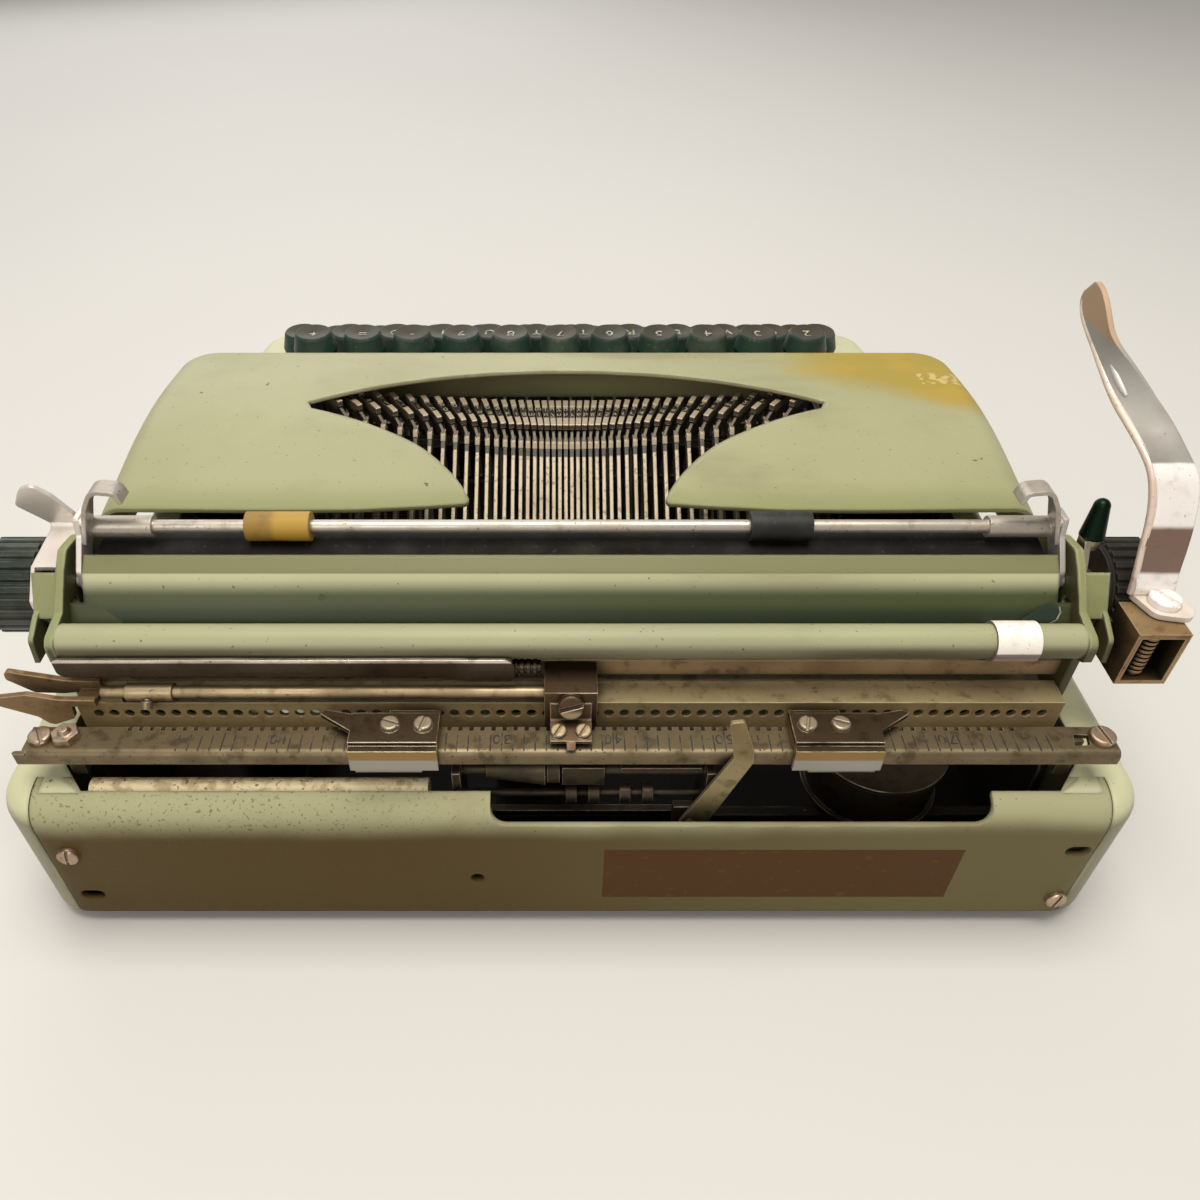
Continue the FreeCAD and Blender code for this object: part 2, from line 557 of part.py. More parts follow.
def margin_stop(inner, side):
    """Clip that rides on the rack, with its nose, wing and bright thumb tab; side is +1 or -1."""
    def at(a, b, y0, y1, z0, z1):
        low, high = sorted((inner + side * a, inner + side * b))
        return box(low, high, y0, y1, z0, z1)
    saddle = at(0, 20.5, 132.8, RACK_REAR + 1.2, RACK_Z + 0.15, RACK_Z + 2.2)
    plate = at(0, 20.5, 130.6, 139.8, RACK_Z + 2.1, RACK_Z + 3.4)
    back = at(0, 20.5, RACK_REAR + 0.2, RACK_REAR + 1.2, RACK_Z - 4.4, RACK_Z + 0.2)
    nose = at(0, 12, 129.6, 131.7, RACK_Z - 1.5, RACK_Z + 3.2)
    screws = [slotted_screw((inner + side * a, 134.6, RACK_Z + 3.4), (0, 0, 1), 2.2, 1.3, turn)
              for a, turn in ((3.6, 75), (11.3, 160))]
    wing = slab([(14, 132.2), (27.2, 129.6, 0.6), (28.6, 130.6, 0.6), (20.2, 136.4)], "xy",
                RACK_Z + 2.1, RACK_Z + 3.4)
    if side < 0:
        wing = mirror_x(wing)
    wing.translate(Vec(inner, 0, 0))
    tab = strip([(RACK_REAR + 0.7, RACK_Z - 0.2), (RACK_REAR + 0.7, RACK_Z - 5.4, 1.4),
                 (RACK_REAR - 3.0, RACK_Z - 6.4)], "yz", 1.0, 0, 15.5)
    mask = slab([(0, RACK_Z - 8, 3), (0, RACK_Z + 2, 0), (15.5, RACK_Z + 2, 0), (15.5, RACK_Z - 8, 3)],
                "xz", 120, 150)
    tab = tab.common(mask)
    tab.translate(Vec(inner + (3.9 if side > 0 else -19.4), 0, 0))
    return fuse([saddle, plate, back, nose, wing, tab] + screws)


def make_behind():
    make_rack()
    keep("margin_stop_right", margin_stop(STOP_RIGHT, 1))
    keep("margin_stop_left", margin_stop(STOP_LEFT, -1))
    keep("felt_strip", rod((34, 138.9, 44.4), (115, 138.9, 44.4), 2.8))
    drum = rod((DRUM_X, DRUM_Y, 26), (DRUM_X, DRUM_Y, 40), DRUM_R)
    flange = rod((DRUM_X, DRUM_Y, 40), (DRUM_X, DRUM_Y, 41.2), DRUM_R + 1.2)
    flange = flange.fuse(rod((DRUM_X, DRUM_Y, 25), (DRUM_X, DRUM_Y, 26), DRUM_R + 1.2))
    boss = rod((DRUM_X, DRUM_Y, 41.2), (DRUM_X, DRUM_Y, 43), 4.5)
    bore = rod((DRUM_X, DRUM_Y, 20), (DRUM_X, DRUM_Y, 50), 2.05)
    keep("mainspring_drum", fuse([drum, flange, boss]).cut(bore))
    make_escapement()
    arm = slab([(-25.5, 34, 2), (-32.5, 34, 2), (-41.6, 59.0, 2), (-41.2, 63.0, 1), (-38.0, 72.6, 0.8),
                (-34.6, 72.2, 0.8), (-37.0, 60.5, 2)], "xz", RACK_REAR + 1.5, RACK_REAR + 2.5)
    pin_hole = rod((LOCK_PIVOT[0], 130, LOCK_PIVOT[1]), (LOCK_PIVOT[0], 146, LOCK_PIVOT[1]), 1.3)
    keep("line_lock_arm", arm.cut(pin_hole))
    shaft = rod((-34, 137.2, 50.0), (28, 137.2, 50.0), 1.4)
    cone = Part.makeCone(3.9, 2.2, 14, Vec(6, 137.2, 50), Vec(1, 0, 0))
    collar = rod((2.6, 137.2, 50), (5.6, 137.2, 50), 3.4)
    brackets = [box(x, x + 2, 129.5, 141, 24, 52.5) for x in (-34, 26)]
    upper = box(-8.0, 2.0, 134.6, 139.8, 47.2, 53.2)
    lower = box(-31, -12, 134.2, 139.0, 51.0, 52.2)
    rail = rod((-32, 137.8, 41.8), (26, 137.8, 41.8), 1.0)
    spools = [rod((x, 137.8, 41.8), (x + 2.6, 137.8, 41.8), 2.6) for x in (-20, -14.5, -7, -1.5)]
    foot = box(-34, 28, 129.5, 131.5, 24, 26)
    pin = rod((LOCK_PIVOT[0], 139.9, LOCK_PIVOT[1]), (LOCK_PIVOT[0], 143.6, LOCK_PIVOT[1]), 1.25)
    ear = box(-34, -25, 139.0, 141.0, 34, 40)
    parts = [foot, shaft, cone, collar, upper, lower, rail, pin, ear]
    group("tabulator_parts", [fuse(brackets + parts + spools)])
    dome = Part.makeSphere(17, Vec(84, 91, 4)).cut(Part.makeSphere(16, Vec(84, 91, 4)))
    dome = dome.cut(box(60, 110, 60, 120, -20, 12)).cut(rod((84, 91, 0), (84, 91, 40), 1.5))
    keep("bell", dome.translated(Vec(0, 0, 2)))


def make_escapement():
    """Pinion in mesh with the carriage's teeth, the escape wheel on the same arbor, its rocker."""
    step = 2 * math.pi / PINION_TEETH
    outline = []
    for n in range(PINION_TEETH):
        mid = math.pi / 2 + n * step
        for spread, r in ((-0.105, PINION_R - 1.3), (-0.05, PINION_R + 0.75), (0.05, PINION_R + 0.75),
                          (0.105, PINION_R - 1.3)):
            outline.append((WHEEL_X + r * math.cos(mid + spread), WHEEL_Z + r * math.sin(mid + spread)))
    pinion = slab(outline, "xz", 122.4, 128.4)
    teeth = []
    for n in range(2 * PINION_TEETH):
        a = n * step / 2
        teeth.append((WHEEL_X + 11.0 * math.cos(a), WHEEL_Z + 11.0 * math.sin(a)))
        teeth.append((WHEEL_X + 9.0 * math.cos(a + 0.03), WHEEL_Z + 9.0 * math.sin(a + 0.03)))
    wheel = slab(teeth, "xz", 118.2, 119.6)
    hub = rod((WHEEL_X, 116.6, WHEEL_Z), (WHEEL_X, 128.4, WHEEL_Z), 3.4)
    bore = rod((WHEEL_X, 110, WHEEL_Z), (WHEEL_X, 130, WHEEL_Z), 1.55)
    keep("escapement_wheel", fuse([pinion, wheel, hub]).cut(bore))
    pivot = (-3.0, 34.0)
    rocker = slab([(-6, 31, 2), (-6, 37, 2), (-1.2, 45.2), (0.2, 44.6), (0.2, 31, 2)], "xz", 118.0, 119.8)
    pin = rod((pivot[0], 114, pivot[1]), (pivot[0], 119.8, pivot[1]), 1.2)
    plate = box(-8, 4, 112, 114, 20, 46)
    rocker = rocker.cut(rod((pivot[0], 110, pivot[1]), (pivot[0], 130, pivot[1]), 1.25))
    keep("escapement_rocker", rocker)
    parts["chassis_frame"] = fuse([parts["chassis_frame"], plate, pin,
                                   box(-8, 20, 112, 114, 20, 46), box(-8, 20, 112, 128.5, 20, 24)])


def make_spools():
    for name, x in (("ribbon_spool_left", -SPOOL_X), ("ribbon_spool_right", SPOOL_X)):
        core = rod((x, SPOOL_Y, 46.4), (x, SPOOL_Y, 59), 8)
        discs = [rod((x, SPOOL_Y, z), (x, SPOOL_Y, z + 1), 18.5) for z in (46.4, 58)]
        keep(name, fuse([core] + discs).cut(rod((x, SPOOL_Y, 40), (x, SPOOL_Y, 70), 2.06)))


# Carriage -----------------------------------------------------------------------------------
def make_rail():
    """Bed that straddles the track, with the perforated rail and its teeth along the rear edge."""
    bed_top = TRACK_Z + 6.2
    front = TRACK_Y - 7.1
    profile = [(front, 50.4), (front + 1.5, 50.4), (front + 1.5, TRACK_Z + 4.6),
               (TRACK_Y + 5.6, TRACK_Z + 4.6), (TRACK_Y + 5.6, 50.4), (TRACK_Y + 7.1, 50.4),
               (TRACK_Y + 7.1, TRACK_Z + 4.6), (RAIL_Y - 6.4, TRACK_Z + 4.6), (RAIL_Y - 6.4, RAIL_TOP - 1.2),
               (RAIL_Y - 1.2, RAIL_TOP - 1.2), (RAIL_Y - 1.2, 52.4), (RAIL_Y, 52.4), (RAIL_Y, RAIL_TOP),
               (RAIL_Y - 7.6, RAIL_TOP), (RAIL_Y - 7.6, bed_top), (front, bed_top)]
    rail = slab(profile, "yz", -RAIL_HALF, RAIL_HALF)
    count = int(2 * RAIL_HALF / HOLE_PITCH) - 1
    holes = []
    for n in range(count):
        x = (n - (count - 1) / 2) * HOLE_PITCH
        holes.append(rod((x, RAIL_Y - 2, 58.4), (x, RAIL_Y + 1, 58.4), 1.2))
    pitch = 2 * math.pi * PINION_R / PINION_TEETH
    teeth = []
    first = int((WHEEL_X - 40) / pitch)
    for n in range(first, first + 30):
        mid = WHEEL_X + (n + 0.5) * pitch
        teeth.append(slab([(mid - 0.75, 52.5), (mid - 0.4, RACK_LINE - 0.75), (mid + 0.4, RACK_LINE - 0.75),
                           (mid + 0.75, 52.5)], "xz", RAIL_Y - 1.2, RAIL_Y))
    keep("carriage_rail", fuse([rail.cut(Part.makeCompound(holes))] + teeth))


def make_carriage():
    make_rail()
    cap = slab([(-STOP_HALF, 120.6), (STOP_HALF, 120.6), (STOP_HALF, 131), (-STOP_HALF, 131)], "xy",
               RAIL_TOP, RAIL_TOP + 7.4)
    cap = cap.cut(box(-STOP_HALF + 1.6, STOP_HALF - 1.6, 119, 129.4, RAIL_TOP + 1.6, RAIL_TOP + 5.8))
    skirt = box(-STOP_HALF, STOP_HALF, RAIL_Y + 0.1, 131, 56.5, RAIL_TOP)
    pointer = strip([(137.6, 61.0), (140.6, 60.4)], "yz", 0.8, -1.0, 1.0)
    tongue = strip([(130.7, 66), (132.0, 61.6, 1.0), (138.4, 60.8)], "yz", 1.0, -4.8, 4.8)
    screws = [slotted_screw((x, 136.0, 61.5), (0, 0.12, 0.99), 1.9, 1.3, 60) for x in (-2.9, 2.9)]
    screws.append(slotted_screw((0, 131.9, 66.2), (0, 0.92, 0.38), 3.0, 1.6, 15))
    keep("centre_stop", fuse([cap, skirt, pointer, tongue] + screws))
    axis = (126.0, 64.7)
    bar = rod((STOP_HALF, axis[0], axis[1]), (111, axis[0], axis[1]), 1.5)
    collar = rod((94, axis[0], axis[1]), (105, axis[0], axis[1]), 2.2)
    hook = rod((100, axis[0] + 0.5, 64.2), (100, axis[0] + 2.2, 63.6), 0.9)
    hook = hook.fuse(rod((100, axis[0] + 2.2, 63.9), (100, axis[0] + 3.4, 62.4), 1.3))
    foot = box(106.5, 110.5, 124.8, 127.0, RAIL_TOP, 65)
    keep("release_rod", fuse([bar, collar, hook, foot]))
    upper = slab([(112.5, RAIL_TOP), (118.2, RAIL_TOP), (122, 61.5, 2), (129, 61.8, 2), (134.5, 66.2, 1),
                  (134.2, 68.8, 1), (128, 67.4, 3), (121, 65.8, 3), (112.5, 65.4)], "xz", 122.0, 123.4)
    lower = slab([(112.5, RAIL_TOP), (118.5, RAIL_TOP), (118.8, 58, 1), (125, 55.5, 2), (127.5, 58.5, 2),
                  (135.8, 62.3, 1), (135.4, 64.8, 1), (128.1, 65.9, 3), (121, 64.2, 3), (112.5, 64)],
                 "xz", 126.9, 128.3)
    sole = box(112.5, 117.5, 122.0, 128.3, RAIL_TOP, RAIL_TOP + 1.2)
    keep("release_fingers", fuse([upper, lower, sole]))


def end_plate(side):
    """Plate behind the knob, with a flange folded outwards in line with the paper table."""
    outline = [(121.6, 57), (121.6, 72, 1), (125.3, 73.5, 1), (125.3, 79.5, 3), (116.6, 81.2, 1.5),
               (109.4, 88.2, 3), (105.2, 91.2, 2), (98, 90, 4), (88, 84, 8), (84.5, 66, 8), (92, 57, 3)]
    low, high = sorted((side * END_PLATE, side * (END_PLATE + END_T)))
    plate = slab(outline, "yz", low, high)
    flange_low, flange_high = sorted((side * (END_PLATE + 1), side * 126.8))
    flange = strip([(114.4, 77.7), (108.2, 86.6)], "yz", 1.2, flange_low, flange_high)
    wall_low, wall_high = sorted((side * 125.6, side * 126.8))
    wall = slab([(113.8, 70), (113.8, 79.4), (115.2, 79.0), (120.6, 76.2, 2), (121.6, 70)], "yz",
                wall_low, wall_high)
    plate = fuse([plate, flange, wall])
    hole = rod((low - 1, PLATEN_Y, PLATEN_Z), (high + 1, PLATEN_Y, PLATEN_Z), SHAFT_R + 0.06)
    lug = box(low, high, 100.9, 118, 56.5, 58)
    pivot = rod((low - 1, RELEASE_PIVOT[0], RELEASE_PIVOT[1]), (high + 1, RELEASE_PIVOT[0], RELEASE_PIVOT[1]),
                1.55)
    return fuse([plate, lug]).cut(hole).cut(pivot)


def make_platen_frame():
    keep("end_plate_right", end_plate(1))
    keep("end_plate_left", end_plate(-1))
    bars = [box(-END_PLATE, END_PLATE, 117.0, 118.4, 63, 67.6),
            box(-END_PLATE, END_PLATE, 112.6, 114.0, 62, 68)]
    group("frame_bars", bars)
    table = strip([(114.4, 71.6), (115.4, 76.2, 2), (108.2, 86.6, 3), (104.9, 89.2)], "yz", 1.0,
                  -END_PLATE, END_PLATE)
    for x0, x1 in ((114.9, 119), (-119, -114.9)):
        table = table.cut(box(x0, x1, 95, 112.6, 70, 95))
    keep("paper_table", table)
    keep("rear_tube", tube((-END_PLATE, TUBE_Y, TUBE_Z), (END_PLATE, TUBE_Y, TUBE_Z), TUBE_R, 3.2))
    band = tube((-107.6, TUBE_Y, TUBE_Z), (-97.4, TUBE_Y, TUBE_Z), TUBE_R + 0.7, TUBE_R)
    tab = strip([(TUBE_Y - 4.4, TUBE_Z), (TUBE_Y - 4.6, 70, 1), (117.2, 68.4)], "yz", 0.8, -106.6, -98.4)
    keep("tube_clip", fuse([band, tab.cut(rod((-110, TUBE_Y, TUBE_Z), (-95, TUBE_Y, TUBE_Z), TUBE_R))]))
    link_y = TUBE_Y + TUBE_R + 0.3
    link = slab([(13, 70), (13, 75.4, 2.6), (119.5, 75.4, 1), (119.5, 70, 2), (30, 70), (24, 68.6, 1),
                 (14, 68.6, 1)], "xz", link_y, link_y + 1.0)
    spring = [tube((8 + 1.5 * n, TUBE_Y + 1.5, 69.8), (8.9 + 1.5 * n, TUBE_Y + 1.5, 69.8), 2.4, 1.6)
              for n in range(4)]
    spine = rod((7, TUBE_Y + 1.5, 69.8), (15, TUBE_Y + 1.5, 69.8), 1.6)
    eye = box(13, 15, TUBE_Y + 0.5, link_y + 0.5, 69, 70.6)
    group("release_link", [fuse([link, spine, eye] + spring)])


def make_platen():
    keep("platen", tube((-PLATEN_HALF, PLATEN_Y, PLATEN_Z), (PLATEN_HALF, PLATEN_Y, PLATEN_Z),
                        PLATEN_R, SHAFT_R + 2))
    shaft = rod((-130, PLATEN_Y, PLATEN_Z), (128, PLATEN_Y, PLATEN_Z), SHAFT_R)
    hubs = [rod((x, PLATEN_Y, PLATEN_Z), (x + 6, PLATEN_Y, PLATEN_Z), SHAFT_R + 2)
            for x in (-PLATEN_HALF, PLATEN_HALF - 6)]
    teeth = []
    for n in range(24):
        a = 2 * math.pi * n / 24
        teeth.append((PLATEN_Y + 11 * math.cos(a), PLATEN_Z + 11 * math.sin(a)))
        teeth.append((PLATEN_Y + 9.2 * math.cos(a + 0.06), PLATEN_Z + 9.2 * math.sin(a + 0.06)))
    ratchet = slab(teeth, "yz", -115.2, -PLATEN_HALF)
    keep("platen_shaft", fuse([shaft, ratchet] + hubs))
    keep("knob_right", knob(128, 143.0))
    keep("knob_left", knob(-143.5, -130))


def knob(x0, x1):
    """Ribbed platen knob on a smooth collar."""
    ribs = 24
    outline = []
    for n in range(ribs):
        a = 2 * math.pi * n / ribs
        for turn, r in ((0.0, 12.0), (0.12, 12.0), (0.16, 11.2), (0.22, 11.2)):
            outline.append((PLATEN_Y + r * math.cos(a + turn), PLATEN_Z + r * math.sin(a + turn)))
    body = slab(outline, "yz", x0 + 1.6, x1 - 1.2)
    core = rod((x0, PLATEN_Y, PLATEN_Z), (x1, PLATEN_Y, PLATEN_Z), 10.6)
    return body.fuse(core)


def make_paper_parts():
    rollers = []
    feed = (108.0, 60.2)
    for x in (-75, -25, 25, 75):
        rollers.append(rod((x - 15, feed[0], feed[1]), (x + 15, feed[0], feed[1]), 2.5))
    axle = rod((-END_PLATE + 0.2, feed[0], feed[1]), (END_PLATE - 0.2, feed[0], feed[1]), 1.0)
    keep("feed_rollers", fuse(rollers + [axle]))
    arms = []
    for side in (-1, 1):
        low, high = sorted((side * 115.7, side * 117.0))
        arm = slab([(103.2, 79.6, 1.5), (108.0, 80.6, 1.5), (107.6, 86, 2), (101.6, 92.5, 2),
                    (100.6, 96.5, 0.6), (95.4, 96.5, 0.6), (95.2, 90.4, 2), (100, 86, 2)], "yz", low, high)
        hook = strip([(115.4, 90.4), (112.3, 100.5, 4), (109.5, 105.2, 3), (104.2, 104.6, 1.5),
                      (103.4, 102)], "xz", 1.0, 97.5, 102.5)
        if side < 0:
            hook = mirror_x(hook)
        web_low, web_high = sorted((side * 114.6, side * 116.2))
        web = box(web_low, web_high, 97.6, 100.5, 90.6, 94.6)
        sleeve_low, sleeve_high = sorted((side * 99.5, side * 116.2))
        sleeve = rod((sleeve_low, BAIL_Y, BAIL_Z), (sleeve_high, BAIL_Y, BAIL_Z), 2.6)
        pin_low, pin_high = sorted((side * 116.3, side * 118.3))
        pin = rod((pin_low, BAIL_PIVOT[0], BAIL_PIVOT[1]), (pin_high, BAIL_PIVOT[0], BAIL_PIVOT[1]), 1.5)
        arms += [arm, hook, web, sleeve, pin]
    bar = rod((-110.0, BAIL_Y, BAIL_Z), (110.0, BAIL_Y, BAIL_Z), BAIL_R)
    keep("paper_bail", fuse(arms + [bar]))
    for name, x0, x1 in (("bail_roller_right", 61.9, 77.2), ("bail_roller_left", -57.4, -42.8)):
        keep(name, tube((x0, BAIL_Y, BAIL_Z), (x1, BAIL_Y, BAIL_Z), 3.55, BAIL_R + 0.06))


def make_levers():
    stem = slab([(104, 79.5, 2), (108, 83, 2), (103.2, 92.4, 1), (99.8, 92.6, 1), (100.4, 88)], "yz",
                -122.6, -121.2)
    ferrule = Part.makeCone(2.0, 2.9, 3.4, Vec(-123.6, 101.6, 88.8), Vec(-0.03, -0.2, 1))
    tip = Part.makeCone(2.9, 1.9, 7.6, Vec(-123.7, 100.9, 92.0), Vec(-0.03, -0.2, 1))
    end = Part.makeSphere(1.9, Vec(-123.93, 99.4, 99.45))
    pivot = rod((-122.6, 106, 81.6), (-120.5, 106, 81.6), 1.5)
    keep("paper_release_lever", fuse([stem, ferrule, tip, end, pivot]))
    outer = 127.8           # just short of the knob's inner face
    pin = rod((END_PLATE + 0.3, RELEASE_PIVOT[0], RELEASE_PIVOT[1]),
              (outer, RELEASE_PIVOT[0], RELEASE_PIVOT[1]), 1.5)
    arm = slab([(112.3, 77.6, 1.5), (112.6, 81, 1.5), (106.4, 86.9, 0.5), (104.0, 86.9, 0.5),
                (105.6, 83.0, 2), (108.6, 77.6, 1.5)], "yz", 126.9, outer)
    shelf = strip([(106.4, 86.3), (92.6, 87.6, 2), (90.8, 90.2)], "yz", 1.2, 121.2, outer)
    pad = slab([(121.2, 88.6), (outer, 88.6), (134.2, 94.6, 1.2), (131.4, 99.4, 2), (128.0, 100.6, 2),
                (124.6, 97.4, 3), (121.2, 91.4, 2)], "xz", -0.6, 0.6)
    pad.rotate(Vec(0, 0, 88.6), Vec(1, 0, 0), -8)
    pad.translate(Vec(0, 91.4, 0.6))
    keep("carriage_release_lever", fuse([pin, arm, shelf, pad]))
    make_return_lever()


def band(edges, thickness):
    """Sheet strip lofted through pairs of points on its two edges, each pair across the strip."""
    pairs = [(Vec(*left), Vec(*right)) for left, right in edges]
    middles = [(left + right) * 0.5 for left, right in pairs]
    last = len(pairs) - 1
    wires = []
    for i, (left, right) in enumerate(pairs):
        along = middles[min(i + 1, last)] - middles[max(i - 1, 0)]
        out = (right - left).cross(along).normalize() * (thickness / 2)
        wires.append(Part.makePolygon([left - out, right - out, right + out, left + out, left - out]))
    return Part.makeLoft(wires, True, False)


def make_return_lever():
    """Pressed lever: foot under its screw, upright band, then a twist into the finger leaf."""
    strap = band([((-132.4, 110.6, 81.7), (-142.2, 110.6, 81.7)),
                  ((-131.8, 110.4, 87.0), (-141.5, 110.4, 87.0)),
                  ((-131.2, 109.2, 93.0), (-141.2, 109.2, 93.0)),
                  ((-131.1, 107.0, 101.2), (-140.9, 107.0, 101.2)),
                  ((-130.4, 105.0, 106.6), (-140.4, 105.0, 106.6)),
                  ((-129.2, 102.8, 111.2), (-139.4, 103.0, 110.4)),
                  ((-128.1, 98.6, 114.0), (-137.4, 100.4, 113.6)),
                  ((-127.6, 90.8, 115.8), (-135.3, 94.8, 117.6)),
                  ((-127.2, 82.4, 117.4), (-132.4, 86.1, 122.0)),
                  ((-127.0, 75.2, 119.9), (-129.6, 78.6, 125.4)),
                  ((-126.9, 66.8, 123.2), (-127.2, 72.0, 128.6)),
                  ((-126.8, 58.4, 126.2), (-126.4, 66.4, 133.2)),
                  ((-126.8, 54.6, 128.8), (-126.2, 61.8, 135.6)),
                  ((-126.7, 54.6, 132.0), (-126.3, 58.4, 135.8))], 1.3)
    foot = slab([(-132.2, 109.9, 1), (-142.4, 109.9, 1), (-145.0, 117.0, 2), (-142.6, 120.0, 3),
                 (-135.0, 118.4, 3)], "xy", 81.0, 82.4)
    screw = slotted_screw((-138.6, 114.2, 82.4), (0, 0, 1), 3.6, 2.0, 120)
    keep("return_lever", fuse([strap, foot, screw]))
    outer = box(-141.7, -129.6, 112.0, 123.6, 65.0, 80.8)
    inner = box(-140.6, -130.7, 113.2, 130.0, 66.1, 79.4)
    arm = box(-129.6, -END_PLATE - END_T, 112.0, 113.4, 66.0, 76.0)
    coils = [tube((-134.6, 120.4, 67.4 + 1.3 * n), (-134.6, 120.4, 68.1 + 1.3 * n), 2.2, 1.3)
             for n in range(9)]
    spine = rod((-134.6, 120.4, 66.0), (-134.6, 120.4, 79.6), 1.3)
    keep("return_lever_bracket", fuse([outer.cut(inner), arm, spine] + coils))


def build():
    make_casing()
    make_base()
    make_frame()
    make_cover()
    make_basket()
    make_keyboard()
    make_behind()
    make_spools()
    make_carriage()
    make_platen_frame()
    make_platen()
    make_paper_parts()
    make_levers()


build()
os.makedirs("parts", exist_ok=True)
for name, shape in parts.items():
    shape.exportStep("parts/" + name + ".step")
    print(name, len(shape.Solids), round(shape.Volume), shape.isValid())
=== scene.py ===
"""Looks of the flat portable typewriter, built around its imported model.

Metres. X to the typist's right, Y towards the rear panel, Z up, feet on Z = 0.
The sections follow the machine as it is put together, from the casing to the carriage and cover.
"""
import bpy
import math
from mathutils import Matrix, Vector


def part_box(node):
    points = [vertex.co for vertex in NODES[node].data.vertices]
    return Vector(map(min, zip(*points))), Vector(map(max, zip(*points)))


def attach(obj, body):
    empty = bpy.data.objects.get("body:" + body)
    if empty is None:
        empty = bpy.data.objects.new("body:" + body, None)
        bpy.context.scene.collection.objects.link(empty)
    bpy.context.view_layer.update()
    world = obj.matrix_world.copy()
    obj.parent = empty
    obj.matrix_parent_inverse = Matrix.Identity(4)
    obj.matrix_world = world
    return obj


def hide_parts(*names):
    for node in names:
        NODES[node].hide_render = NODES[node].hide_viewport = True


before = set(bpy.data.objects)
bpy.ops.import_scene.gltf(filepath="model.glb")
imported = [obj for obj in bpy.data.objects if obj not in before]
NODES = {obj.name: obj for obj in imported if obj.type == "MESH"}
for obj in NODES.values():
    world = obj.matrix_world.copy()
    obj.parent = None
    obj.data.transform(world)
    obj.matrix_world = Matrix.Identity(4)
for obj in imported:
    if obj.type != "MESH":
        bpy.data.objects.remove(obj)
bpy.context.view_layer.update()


scene = bpy.context.scene


